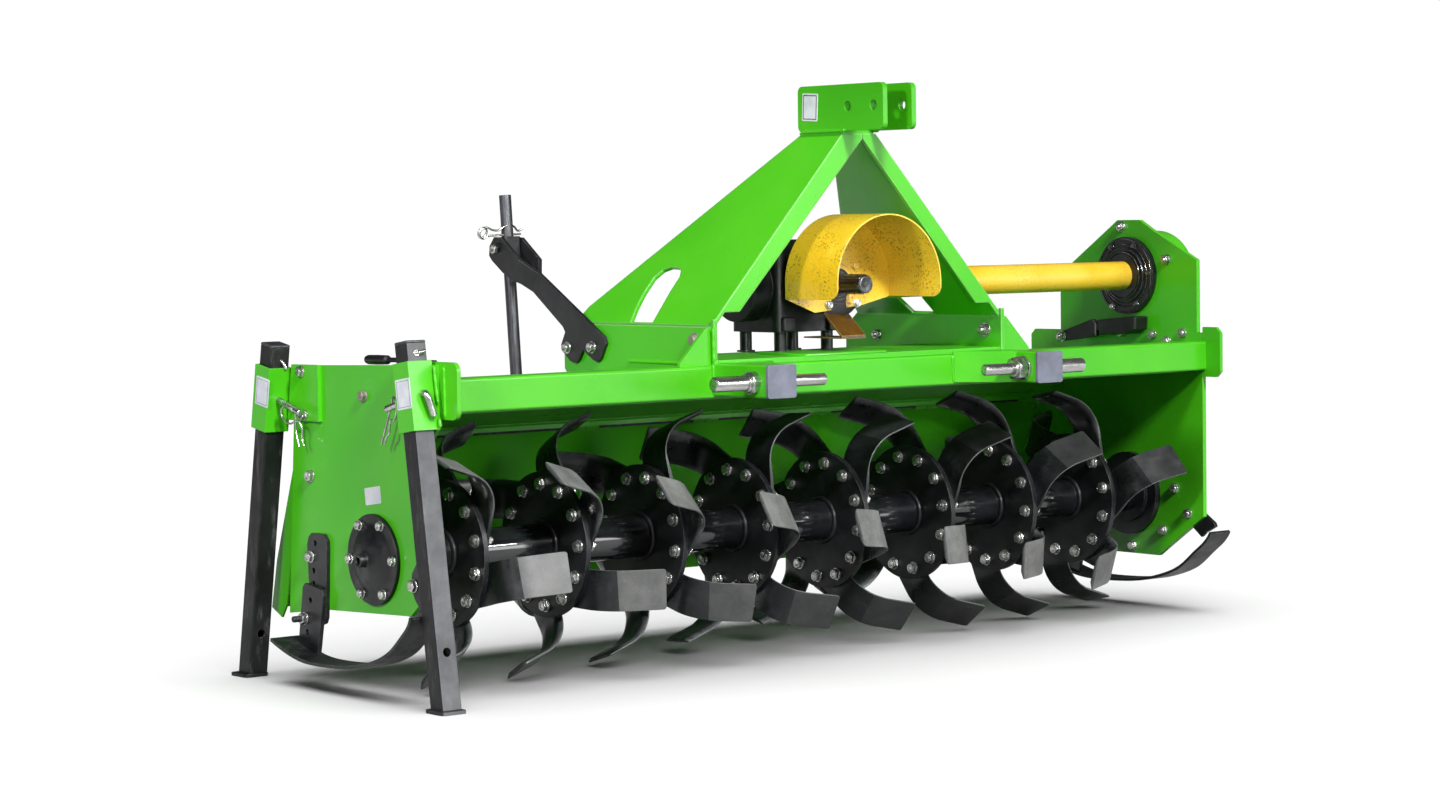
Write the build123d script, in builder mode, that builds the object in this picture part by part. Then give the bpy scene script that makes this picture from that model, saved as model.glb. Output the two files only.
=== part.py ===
from build123d import *
import math
import os

os.makedirs("parts", exist_ok=True)

# A side-drive rotary tiller for a tractor's three-point linkage, in millimetres.
# Everything is drawn from the middle of the rotor's axis: +X towards the drive case (the machine's left), -Y towards
# the tractor, +Z up. place() then moves it so that the row's origin is on the ground under the machine's middle.
ROTOR_AT = (-40.0, -38.0, 245.0)

# rotor
FLANGES = 8
PITCH = 225.0
FLANGE_R, FLANGE_T = 136.0, 10.0
BOLT_R = 113.5
TUBE_R = 40.0
FIRST_ANGLE, STEP_ANGLE = -29.8, -13.0
BLADE_T, BLADE_W = 8.0, 75.0
BLADE_LEAN = 42.0
BLADE_S, BLADE_BEND, BLADE_TURN, BLADE_WING = 60.0, 52.0, 71.5, 80.0

# frame
BEAM = 60.0
BEAM_Y, BEAM_Z = -192.0, 298.0
REAR_Y, REAR_Z = 225.0, 272.0
NEAR_X, NEAR_T = -935.0, 8.0
FAR_X, FAR_T = 975.0, 10.0
IN_NEAR = NEAR_X + NEAR_T
DECK_Z, DECK_T = 328.0, 10.0

# hitch
HITCH_X = 34.0
HALF_BASE = 362.0
PIN_Z, PIN_Y = 301.0, -340.0
PTO_Z = 470.0
DRIVE_Z = 465.0


def place(solid, name):
    moved = Pos(*ROTOR_AT) * solid
    moved.label = name
    export_step(moved, f"parts/{name}.step")


# ---------------------------------------------------------------- beams
with BuildPart() as front_beam:
    with BuildSketch(Plane.YZ.offset(IN_NEAR + 8)):
        with Locations((BEAM_Y, BEAM_Z)):
            RectangleRounded(BEAM, BEAM, 5)
            RectangleRounded(BEAM - 10, BEAM - 10, 2, mode=Mode.SUBTRACT)
    extrude(amount=FAR_X - IN_NEAR - 8)
place(front_beam.part, "front_beam")

with BuildPart() as rear_beam:
    with BuildSketch(Plane.YZ.offset(IN_NEAR)):
        with Locations((REAR_Y, REAR_Z)):
            RectangleRounded(50, 50, 4)
            RectangleRounded(42, 42, 1.5, mode=Mode.SUBTRACT)
    extrude(amount=FAR_X - IN_NEAR)
place(rear_beam.part, "rear_beam")

# ---------------------------------------------------------------- side plates
with BuildPart() as side_plate_right:
    with BuildSketch(Plane.YZ.offset(NEAR_X)):
        with BuildLine():
            Polyline(
                (262, 341), (-205, 353), (-205, 240), (-152, 190), (-152, -62), (-112, -93), (83, -101), (159, -104),
                (300, -121), close=True,
            )
        make_face()
        Circle(60, mode=Mode.SUBTRACT)
    extrude(amount=NEAR_T)
place(side_plate_right.part, "side_plate_right")

with BuildPart() as side_plate_left:
    with BuildSketch(Plane.YZ.offset(FAR_X)):
        with BuildLine():
            Polyline(
                (-212, 346), (-212, -40), (-82, -130), (86, -130), (300, -60), (302, 334), (290, 346), close=True
            )
        make_face()
        Circle(70, mode=Mode.SUBTRACT)
    extrude(amount=FAR_T)
place(side_plate_left.part, "side_plate_left")

with BuildPart() as beam_end_plates:
    with BuildSketch(Plane.YZ.offset(IN_NEAR)):
        with Locations((-204, 308)):
            RectangleRounded(112, 100, 16)
    extrude(amount=8)
    with BuildSketch(Plane.YZ.offset(FAR_X)):
        with BuildLine():
            Polyline((-212.5, 358), (-250, 358), (-262, 346), (-262, 266), (-250, 254), (-212.5, 254), close=True)
        make_face()
    extrude(amount=8)
place(beam_end_plates.part, "beam_end_plates")

with BuildPart() as drive_case_plate:
    with BuildSketch(Plane.YZ.offset(FAR_X)):
        with BuildLine():
            Polyline(
                (-197, 346), (-197, 498), (-76, 558), (-31, 583), (33, 583), (173, 491), (209, 425), (209, 346), close=True
            )
        make_face()
    extrude(amount=FAR_T)
place(drive_case_plate.part, "drive_case_plate")

with BuildPart() as drive_case:
    with BuildSketch(Plane.YZ.offset(FAR_X + FAR_T)):
        with BuildLine():
            Line((-104, 455), (-110, 0))
            RadiusArc((-110, 0), (110, 0), -110)
            Line((110, 0), (104, 455))
            RadiusArc((104, 455), (-104, 455), -104)
        make_face()
    extrude(amount=92)
    fillet(drive_case.faces().sort_by(Axis.X)[-1].edges(), 14)
place(drive_case.part, "drive_case")

# ---------------------------------------------------------------- hood over the rotor
with BuildPart() as rotor_hood:
    with BuildSketch(Plane.YZ.offset(IN_NEAR)):
        with BuildLine():
            Polyline(
                (-147, 264), (-100, 264), (60, 262), (160, 243), (250, 209), (252, 212.5), (161, 247), (60.5, 266), (-100, 268),
                (-147, 268), close=True,
            )
        make_face()
    extrude(amount=FAR_X - IN_NEAR)
    with BuildSketch(Plane.YZ.offset(IN_NEAR + 8)):
        with Locations((-163, 266)):
            Rectangle(33, 4)
    extrude(amount=FAR_X - IN_NEAR - 8)
place(rotor_hood.part, "rotor_hood")

# ---------------------------------------------------------------- deck and mast
with BuildPart() as gearbox_deck:
    with BuildSketch(Plane.XY.offset(DECK_Z)):
        with Locations((HITCH_X, -92)):
            Rectangle(2 * HALF_BASE - 10, 256)
    extrude(amount=DECK_T)
place(gearbox_deck.part, "gearbox_deck")

MAST_FOLD_Z, MAST_TOP_Z = 400.0, 757.0
MAST_TOP_HALF = 36.0
MAST_FRONT = -214.0
RUN = math.hypot(HALF_BASE - MAST_TOP_HALF, MAST_TOP_Z - MAST_FOLD_Z)
LEAN = math.atan2(HALF_BASE - MAST_TOP_HALF, MAST_TOP_Z - MAST_FOLD_Z)
for name, side, split in (("mast_plate_right", -1, 42.0), ("mast_plate_left", 1, 44.0)):
    base_x = HITCH_X + side * HALF_BASE
    top_x = HITCH_X + side * MAST_TOP_HALF
    with BuildPart() as upright:
        with BuildSketch(Plane.YZ.offset(base_x - 4)):
            with BuildLine():
                Polyline(
                    (-222, 328), (-222, MAST_FOLD_Z + 14), (MAST_FRONT, MAST_FOLD_Z + 14), (MAST_FRONT, MAST_FOLD_Z),
                    (214, MAST_FOLD_Z), (250, 372), (250, 312), (236, 297), (-160, 297), (-160, 328), close=True,
                )
            make_face()
        extrude(amount=8)
    # the leaning sheet's own plane: local x along the row's Y, local y up the slope
    slope = Plane(
        origin=(base_x, 0, MAST_FOLD_Z),
        x_dir=(0, 1, 0),
        z_dir=(math.cos(LEAN), 0, side * math.sin(LEAN)),
    )
    with BuildPart() as sheet:
        with BuildSketch(slope):
            with BuildLine():
                Polyline((MAST_FRONT, 0), (MAST_FRONT, RUN), (-92, RUN), (204, 40), (212, 0), close=True)
            make_face()
            with BuildLine():
                Polyline(
                    (38, 4), (-31, 4), (-27, 30), (-19, 83), (-17, 118), (-8, 133), (9, 142), (32, 143), (51, 135),
                    (62, 115), (60, 77), (52, 42), close=True,
                )
            make_face(mode=Mode.SUBTRACT)
        extrude(amount=4, both=True)
    with BuildPart() as strip:
        with BuildSketch(Plane.XZ.offset(-MAST_FRONT - 8)):
            with BuildLine():
                Polyline(
                    (base_x - side * 24, MAST_FOLD_Z + 26), (top_x, MAST_TOP_Z), (split, MAST_TOP_Z), (split, MAST_TOP_Z - 10),
                    (base_x - side * 64, MAST_FOLD_Z + 26), close=True,
                )
            make_face()
        extrude(amount=8)
    mast = upright.part + sheet.part + strip.part - Pos(HITCH_X, -150, MAST_TOP_Z + 10) * Box(200, 200, 20)
    if side > 0:
        # the cross shaft's tube runs through this plate
        mast = mast - Pos(380, 0, DRIVE_Z) * Rot(0, 90, 0) * Cylinder(40, 260)
    place(mast, name)

with BuildPart() as mast_gussets:
    with BuildSketch(Plane.XZ.offset(206)):
        for side in (-1, 1):
            with BuildLine():
                x0 = HITCH_X + side * (HALF_BASE + 4)
                Polyline((x0, 328), (x0 + side * 74, 328), (x0 + side * 74, 334), (x0 + side * 12, 398), (x0, 398), close=True)
            make_face()
    extrude(amount=8)
place(mast_gussets.part, "mast_gussets")

# ---------------------------------------------------------------- top-link clevis
CLEVIS_Y0, CLEVIS_Y1, CLEVIS_Z0, CLEVIS_Z1 = -334.0, -85.0, 762.0, 850.0
with BuildPart() as top_link_plates:
    for x0 in (HITCH_X - 43.5, HITCH_X + 28):
        with BuildSketch(Plane.YZ.offset(x0)):
            with Locations(((CLEVIS_Y0 + CLEVIS_Y1) / 2, (CLEVIS_Z0 + CLEVIS_Z1) / 2)):
                RectangleRounded(CLEVIS_Y1 - CLEVIS_Y0, CLEVIS_Z1 - CLEVIS_Z0, 12)
            with Locations((-306, 808), (-232, 808)):
                Circle(9.7, mode=Mode.SUBTRACT)
        extrude(amount=11)
place(top_link_plates.part, "top_link_plates")

with BuildPart() as top_link_base:
    with BuildSketch(Plane.XY.offset(MAST_TOP_Z + 4)):
        with Locations((HITCH_X - 2.25, -150)):
            Rectangle(60.5, 120)
    extrude(amount=8)
    with BuildSketch(Plane.XY.offset(MAST_TOP_Z)):
        with Locations((HITCH_X - 2.25, -150)):
            Rectangle(80, 124)
    extrude(amount=5)
place(top_link_base.part, "top_link_base")

# ---------------------------------------------------------------- lower hitch
bracket_caps = []
for name, pin_name, x, out in (
    ("hitch_bracket_right", "lower_link_pin_right", HITCH_X - 336, -1),
    ("hitch_bracket_left", "lower_link_pin_left", HITCH_X + 336, 1),
):
    with BuildPart() as bracket:
        with BuildSketch(Plane.XZ.offset(222)):
            with Locations((x, 303)):
                RectangleRounded(66, 60, 4)
                RectangleRounded(54, 48, 1, mode=Mode.SUBTRACT)
        extrude(amount=154)
        # the closed taper on the inner side, from the beam to behind the pin
        with BuildSketch(Plane.XY.offset(273)):
            with BuildLine():
                Polyline((x - out * 32, -222), (x - out * 108, -222), (x - out * 33, -322), (x - out * 32, -322), close=True)
            make_face()
        extrude(amount=60)
        with BuildSketch(Plane.YZ.offset(x - 140)):
            with Locations((PIN_Y, PIN_Z)):
                Circle(14.5)
        extrude(amount=280, mode=Mode.SUBTRACT)
    place(bracket.part, name)
    with BuildPart() as cap:
        with BuildSketch(Plane.XZ.offset(376)):
            with Locations((x, 303)):
                RectangleRounded(67, 61, 5)
        extrude(amount=6)
        with BuildSketch(Plane.XZ.offset(366)):
            with Locations((x, 303)):
                RectangleRounded(53, 47, 1)
        extrude(amount=10)
    bracket_caps.append(cap.part)
    with BuildPart() as pin:
        with BuildSketch(Plane.YZ.offset(x)):
            with Locations((PIN_Y, PIN_Z)):
                Circle(14)
        extrude(amount=out * 127)
        with BuildSketch(Plane.YZ.offset(x + out * 33.2)):
            with Locations((PIN_Y, PIN_Z)):
                Circle(21)
        extrude(amount=out * 12)
        with BuildSketch(Plane.YZ.offset(x)):
            with Locations((PIN_Y, PIN_Z)):
                Circle(11)
        extrude(amount=-out * 136)
        with BuildSketch(Plane.YZ.offset(x - out * 33.2)):
            with Locations((PIN_Y, PIN_Z)):
                RegularPolygon(18, 6)
        extrude(amount=-out * 16)
        chamfer(pin.faces().sort_by(Axis.X)[0].edges(), 3)
        chamfer(pin.faces().sort_by(Axis.X)[-1].edges(), 3)
    place(pin.part, pin_name)
place(Compound(children=bracket_caps), "bracket_caps")

# ---------------------------------------------------------------- gearbox, guard and power input
FEET = [(-41, -60), (-41, 46), (77, -60), (77, 46)]
BOX_Z = 378.0
with BuildPart() as gearbox_feet:
    with BuildSketch(Plane.XY.offset(DECK_Z + DECK_T)):
        with Locations(*FEET):
            Circle(12)
    extrude(amount=BOX_Z - DECK_Z - DECK_T)
    with BuildSketch(Plane.XY.offset(DECK_Z + DECK_T)):
        with Locations(*FEET):
            Circle(18)
    extrude(amount=3)
place(gearbox_feet.part, "gearbox_feet")

with BuildPart() as gearbox:
    with BuildSketch(Plane.XY.offset(BOX_Z)):
        with Locations((18, -7)):
            RectangleRounded(162, 150, 18)
    extrude(amount=178)
    fillet(gearbox.faces().sort_by(Axis.Z)[-1].edges(), 16)
    with BuildSketch(Plane.YZ.offset(-60)):
        with Locations((0, DRIVE_Z)):
            Circle(66)
    extrude(amount=-46)
    with BuildSketch(Plane.XZ.offset(78)):
        with Locations((HITCH_X, PTO_Z)):
            Circle(58)
    extrude(amount=66.9)
    with BuildSketch(Plane.YZ.offset(96)):
        with Locations((0, DRIVE_Z)):
            Circle(70)
    extrude(amount=34)
    with BuildSketch(Plane.XZ.offset(60)):
        with Locations((HITCH_X, PTO_Z)):
            Circle(16.06)
    extrude(amount=100, mode=Mode.SUBTRACT)
    # the flat the guard's bracket is bolted to
    with BuildSketch(Plane.XZ.offset(142)):
        with Locations((HITCH_X, 400)):
            Rectangle(90, 54)
    extrude(amount=10, mode=Mode.SUBTRACT)
place(gearbox.part, "gearbox")

with BuildPart() as pto_shaft:
    with BuildSketch(Plane.XZ.offset(66)):
        with Locations((HITCH_X, PTO_Z)):
            Circle(16)
    extrude(amount=84)
    with BuildSketch(Plane.XZ.offset(150)):
        with Locations((HITCH_X, PTO_Z)):
            Circle(17.5)
    extrude(amount=80)
    chamfer(pto_shaft.faces().sort_by(Axis.Y)[0].edges(), 2)
place(pto_shaft.part, "pto_shaft")

GUARD_R, GUARD_BACK = 131.0, 145.0
GL, GR = HITCH_X - GUARD_R, HITCH_X + GUARD_R
with BuildPart() as pto_guard:
    with BuildSketch(Plane.XZ.offset(GUARD_BACK)):
        with BuildLine():
            Line((GL, 444), (GL, 473))
            RadiusArc((GL, 473), (GR, 473), GUARD_R)
            Polyline((GR, 473), (GR, 444), (HITCH_X + 60, 428), (HITCH_X - 60, 416), (GL, 444))
        make_face()
        with Locations((HITCH_X, PTO_Z)):
            Circle(30, mode=Mode.SUBTRACT)
        with Locations((HITCH_X, 425)):
            Rectangle(38, 60, mode=Mode.SUBTRACT)
    extrude(amount=3)
    with BuildSketch(Plane.XZ.offset(GUARD_BACK)):
        with BuildLine():
            Line((GL, 444), (GL, 473))
            RadiusArc((GL, 473), (GR, 473), GUARD_R)
            Polyline((GR, 473), (GR, 444), (GR - 3, 444), (GR - 3, 473))
            RadiusArc((GR - 3, 473), (GL + 3, 473), -(GUARD_R - 3))
            Polyline((GL + 3, 473), (GL + 3, 444), (GL, 444))
        make_face()
    extrude(amount=153)
    front_corners = pto_guard.edges().filter_by(Axis.X).group_by(Axis.Y)[0].group_by(Axis.Z)[0]
    fillet(front_corners, 22)
place(pto_guard.part, "pto_guard")

with BuildPart() as guard_bracket:
    with BuildSketch(Plane.YZ.offset(HITCH_X - 34)):
        with BuildLine():
            Polyline(
                (-142, 426), (-145, 426), (-145, 414), (-196, 372), (-196, 366), (-82, 366), (-82, 369), (-190, 369),
                (-190, 372), (-142, 411), close=True,
            )
        make_face()
    extrude(amount=60)
place(guard_bracket.part, "guard_bracket")

# ---------------------------------------------------------------- cross shaft
with BuildPart() as cross_shaft_tube:
    with BuildSketch(Plane.YZ.offset(130)):
        with Locations((0, DRIVE_Z)):
            Circle(30)
    extrude(amount=954 - 130)
place(cross_shaft_tube.part, "cross_shaft_tube")

with BuildPart() as tube_flange:
    for x0, r, t in ((954, 46, 5), (958, 60, 5), (962, 82, 13)):
        with BuildSketch(Plane.YZ.offset(x0)):
            with Locations((0, DRIVE_Z)):
                Circle(r)
        extrude(amount=t)
place(tube_flange.part, "tube_flange")

# ---------------------------------------------------------------- rotor bearings
with BuildPart() as bearing_cover_right:
    with BuildSketch(Plane.YZ.offset(NEAR_X)):
        Circle(82)
    extrude(amount=-8)
    with BuildSketch(Plane.YZ.offset(NEAR_X - 8)):
        Circle(60)
    extrude(amount=-5, taper=65)
    # the grease tube in the middle
    with BuildSketch(Plane.YZ.offset(NEAR_X - 10)):
        Circle(9.5)
    extrude(amount=-28)
    with BuildSketch(Plane.YZ.offset(NEAR_X - 30)):
        Circle(6.5)
    extrude(amount=-12, mode=Mode.SUBTRACT)
    with BuildSketch(Plane.YZ.offset(NEAR_X)):
        Circle(59.5)
    extrude(amount=NEAR_T + 12)
    with BuildSketch(Plane.YZ.offset(NEAR_X - 8)):
        Circle(25.05)
    extrude(amount=60, mode=Mode.SUBTRACT)
place(bearing_cover_right.part, "bearing_cover_right")

with BuildPart() as bearing_housing_left:
    with BuildSketch(Plane.YZ.offset(FAR_X)):
        Circle(88)
        Circle(30.05, mode=Mode.SUBTRACT)
    extrude(amount=-14)
    with BuildSketch(Plane.YZ.offset(FAR_X - 14)):
        Circle(62)
        Circle(30.05, mode=Mode.SUBTRACT)
    extrude(amount=-8)
    with BuildSketch(Plane.YZ.offset(FAR_X)):
        Circle(69.5)
        Circle(30.05, mode=Mode.SUBTRACT)
    extrude(amount=FAR_T)
place(bearing_housing_left.part, "bearing_housing_left")

# ---------------------------------------------------------------- rotor
with BuildPart() as rotor_tube:
    with BuildSketch(Plane.YZ.offset(-908)):
        Circle(TUBE_R)
    extrude(amount=908 + 944)
    with BuildSketch(Plane.YZ.offset(-908)):
        Circle(25)
    extrude(amount=-30)
    with BuildSketch(Plane.YZ.offset(944)):
        Circle(30)
    extrude(amount=36)
place(rotor_tube.part, "rotor_tube")

FLANGE_X = [(k - (FLANGES - 1) / 2) * PITCH for k in range(FLANGES)]
with BuildPart() as rotor_flanges:
    for xf in FLANGE_X:
        with BuildSketch(Plane.YZ.offset(xf - FLANGE_T / 2)):
            Circle(FLANGE_R)
            Circle(TUBE_R, mode=Mode.SUBTRACT)
        extrude(amount=FLANGE_T)
place(rotor_flanges.part, "rotor_flanges")

# All six blades of a flange are bolted to its +X face. A blade's flat strip leans back from the radial line, then bends
# sideways by BLADE_TURN into a flat wing: half of the wings point to +X and half to -X, past the flange's rim.
lean = math.radians(BLADE_LEAN)
bend = math.radians(BLADE_TURN)
hub = BOLT_R * math.cos(math.radians(15))
inner = BLADE_BEND - BLADE_T
outer_end = (BLADE_BEND * (1 - math.cos(bend)), BLADE_S + BLADE_BEND * math.sin(bend))
inner_end = (BLADE_BEND - inner * math.cos(bend), BLADE_S + inner * math.sin(bend))
outer_tip = (outer_end[0] + BLADE_WING * math.sin(bend), outer_end[1] + BLADE_WING * math.cos(bend))
inner_tip = (inner_end[0] + BLADE_WING * math.sin(bend), inner_end[1] + BLADE_WING * math.cos(bend))
for name, side, first in (("blades_bent_left", 1, 0), ("blades_bent_right", -1, 60)):
    face = FLANGE_T / 2 if side > 0 else FLANGE_T / 2 + BLADE_T
    blades = []
    for k, xf in enumerate(FLANGE_X):
        for turn in (0, 120, 240):
            a = math.radians(FIRST_ANGLE + STEP_ANGLE * k + first + turn)
            # unit vectors in (y, z): out along the radius, and back against the turning direction
            out = (-math.cos(a), math.sin(a))
            back = (math.sin(a), math.cos(a))
            along = tuple(math.cos(lean) * o + math.sin(lean) * b for o, b in zip(out, back))
            # local x is sideways from the strip's outer face, local y runs along the strip
            strip_plane = Plane(
                origin=(xf + face, hub * out[0], hub * out[1]),
                x_dir=(side, 0, 0),
                z_dir=(0, -side * along[1], side * along[0]),
            )
            with BuildPart() as blade:
                with BuildSketch(strip_plane):
                    with BuildLine():
                        Line((0, -42), (0, BLADE_S))
                        RadiusArc((0, BLADE_S), outer_end, BLADE_BEND)
                        Polyline(outer_end, outer_tip, inner_tip, inner_end)
                        RadiusArc(inner_end, (BLADE_T, BLADE_S), -inner)
                        Polyline((BLADE_T, BLADE_S), (BLADE_T, -42), (0, -42))
                    make_face()
                extrude(amount=BLADE_W / 2, both=True)
            blades.append(blade.part)
    place(Compound(children=blades), name)

# ---------------------------------------------------------------- skids
SKID_REAR = [(270, -163), (212, -182), (160, -192), (100, -194), (40, -192), (-32, -184), (-84, -171), (-135, -149), (-176, -117)]
SKID_LINE = (
    ("skid_right", -996, 60, [(-196, -97), (-202, -84)]),
    ("skid_left", 986, 60, [(-204, -95), (-220, -74)]),
)


def skid_sides(points, half):
    """The same line moved to both sides by half the sheet's thickness."""
    upper, lower = [], []
    for i, p in enumerate(points):
        a, b = points[max(i - 1, 0)], points[min(i + 1, len(points) - 1)]
        length = math.hypot(b[0] - a[0], b[1] - a[1])
        n = (-(b[1] - a[1]) / length, (b[0] - a[0]) / length)
        upper.append((p[0] + n[0] * half, p[1] + n[1] * half))
        lower.append((p[0] - n[0] * half, p[1] - n[1] * half))
    return upper, lower


for name, x0, wide, nose in SKID_LINE:
    upper, lower = skid_sides(SKID_REAR + nose, 3.0)
    with BuildPart() as skid:
        with BuildSketch(Plane.YZ.offset(x0)):
            with BuildLine():
                Spline(*upper)
                Line(upper[-1], lower[-1])
                Spline(*reversed(lower))
                Line(lower[0], upper[0])
            make_face()
        extrude(amount=wide)
    place(skid.part, name)

# the straps that hold the skids' noses to the side plates
with BuildPart() as skid_straps:
    with BuildSketch(Plane.YZ.offset(NEAR_X)):
        with BuildLine():
            Polyline(
                (-140, 4), (-124, -16), (-121, -40), (-132, -62), (-150, -80), (-194, -89), (-198, -76), (-196, -56),
                (-180, -30), (-164, -4), close=True,
            )
        make_face()
    extrude(amount=-4)
    with BuildSketch(Plane.YZ.offset(FAR_X + FAR_T)):
        with BuildLine():
            Polyline(
                (-140, 4), (-118, -14), (-112, -30), (-173, -66), (-196, -84), (-208, -74), (-219, -69), (-236, -60), (-232, -52),
                (-204, -34), (-160, 0), close=True,
            )
        make_face()
    extrude(amount=8)
place(skid_straps.part, "skid_straps")

with BuildPart() as skid_bars:
    for x0, t in ((NEAR_X - 8, 8), (FAR_X + FAR_T, 8)):
        with BuildSketch(Plane.YZ.offset(x0)):
            with BuildLine():
                Polyline(
                    (214, 28), (204, 35), (164, 35), (153, 24), (152, 8), (160, -118), (166, -129), (178, -133), (198, -132),
                    (206, -124), (217, -50), (220, 12), close=True,
                )
            make_face()
            with Locations((192, 17), (199, -34), (200, -58)):
                Circle(5.5, mode=Mode.SUBTRACT)
        extrude(amount=t)
    for x0, t in ((NEAR_X - 16, 8), (FAR_X + FAR_T + 8, 8)):
        with BuildSketch(Plane.YZ.offset(x0)):
            with BuildLine():
                Polyline((218, -58), (158, -66), (154, -76), (178, -186), (244, -168.5), (228, -80), (226, -66), close=True)
            make_face()
            with Locations((200, -88), (213, -148)):
                Circle(5.5, mode=Mode.SUBTRACT)
        extrude(amount=t)
place(skid_bars.part, "skid_bars")

# ---------------------------------------------------------------- tailboard and its rod
HINGE = (262.0, 196.0)
EYE = (392.0, 60.0)
ROD_X, ROD_R = -336.0, 12.0
BOARD_X0, BOARD_X1 = IN_NEAR + 6, FAR_X - 6
with BuildPart() as tailboard:
    with BuildSketch(Plane.YZ.offset(BOARD_X0)):
        with BuildLine():
            Polyline(
                (262, 206), (276, 204), (285, 188), (366, -28), (388, -119), (384.1, -120), (362.2, -29.2), (281.3, 186.6),
                (274, 202.2), (262, 202.2), close=True,
            )
        make_face()
    extrude(amount=BOARD_X1 - BOARD_X0)
    for x0 in (BOARD_X0, BOARD_X1 - 4):
        with BuildSketch(Plane.YZ.offset(x0)):
            with BuildLine():
                Polyline((274, 184), (283, 184), (364, -29), (386, -119.5), (352, -135), (334, -110), (296, 60), close=True)
            make_face()
        extrude(amount=4)
place(tailboard.part, "tailboard")

with BuildPart() as tailboard_hinge:
    with BuildSketch(Plane.YZ.offset(BOARD_X0 + 20)):
        with Locations(HINGE):
            Circle(6)
    extrude(amount=BOARD_X1 - BOARD_X0 - 40)
place(tailboard_hinge.part, "tailboard_hinge_rod")

with BuildPart() as tailboard_lug:
    for x0 in (ROD_X - 22, ROD_X + 16):
        with BuildSketch(Plane.YZ.offset(x0)):
            with BuildLine():
                Polyline((321, 92), (398, 76), (409, 66), (411, 56), (403, 46), (352.5, 8), close=True)
            make_face()
        extrude(amount=6)
    with BuildSketch(Plane.YZ.offset(ROD_X - 28)):
        with Locations(EYE):
            Circle(6)
    extrude(amount=56)
place(tailboard_lug.part, "tailboard_lug")

# the rod slides in a trunnion block that swings between the bracket's two tines
TRUNNION = (430.0, 549.0)
ry, rz = TRUNNION[0] - EYE[0], TRUNNION[1] - EYE[1]
reach = math.hypot(ry, rz)
ry, rz = ry / reach, rz / reach
rod_plane = Plane(origin=(ROD_X, EYE[0] + 14 * ry, EYE[1] + 14 * rz), x_dir=(1, 0, 0), z_dir=(0, ry, rz))
with BuildPart() as tailboard_rod:
    with BuildSketch(rod_plane):
        Circle(ROD_R)
    extrude(amount=(652 - EYE[1]) / rz - 14)
    with BuildSketch(Plane.YZ.offset(ROD_X - 7)):
        with Locations(EYE):
            Circle(20)
    extrude(amount=14)
    with BuildSketch(Plane.YZ.offset(ROD_X - 30)):
        with Locations(EYE):
            Circle(11.5)
    extrude(amount=60, mode=Mode.SUBTRACT)
place(tailboard_rod.part, "tailboard_rod")

guide_plane = Plane(origin=(ROD_X, TRUNNION[0] - 20 * ry, TRUNNION[1] - 20 * rz), x_dir=(1, 0, 0), z_dir=(0, ry, rz))
with BuildPart() as rod_guide:
    with BuildSketch(guide_plane):
        RectangleRounded(38, 36, 4)
    extrude(amount=40)
    with BuildSketch(Plane.YZ.offset(ROD_X - 36)):
        with Locations(TRUNNION):
            Circle(8)
    extrude(amount=72)
    with BuildSketch(guide_plane.offset(-5)):
        Circle(ROD_R + 0.06)
    extrude(amount=60, mode=Mode.SUBTRACT)
place(rod_guide.part, "rod_guide")

with BuildPart() as bracket_outline:
    with BuildSketch(Plane.YZ.offset(ROD_X - 28)):
        with BuildLine():
            Polyline(
                (110, 376), (104, 364), (122, 334), (132, 327), (146, 331), (179, 350), (193, 330), (205, 323), (221, 327),
                (247, 347), (250, 358), (236, 383), (243, 393), (344, 462), (362, 476), (410, 498), (447, 522), (457, 532),
                (455, 551), (439, 569), (414, 567), (357, 526), (326, 500), close=True,
            )
        make_face()
    extrude(amount=56)
# the arm is one plate that parts into two tines, seen here square to its slope
ARM_UP = (0.866, 0.5)
arm_plane = Plane(origin=(ROD_X, 110, 370), x_dir=(0, ARM_UP[0], ARM_UP[1]), z_dir=(0, -ARM_UP[1], ARM_UP[0]))
with BuildPart() as bracket_plan:
    with BuildSketch(arm_plane):
        with BuildLine():
            Polyline(
                (-60, -4), (246, -4), (288, -28), (420, -28), (420, -20), (291, -20), (256, 0), (291, 20), (420, 20), (420, 28),
                (288, 28), (246, 4), (-60, 4), close=True,
            )
        make_face()
    extrude(amount=160, both=True)
bracket = bracket_outline.part & bracket_plan.part
for x0 in (ROD_X - 30, ROD_X + 10):
    bracket = bracket - Pos(x0 + 10, *TRUNNION) * Rot(0, 90, 0) * Cylinder(8.06, 24)
place(bracket, "rod_bracket")

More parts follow.
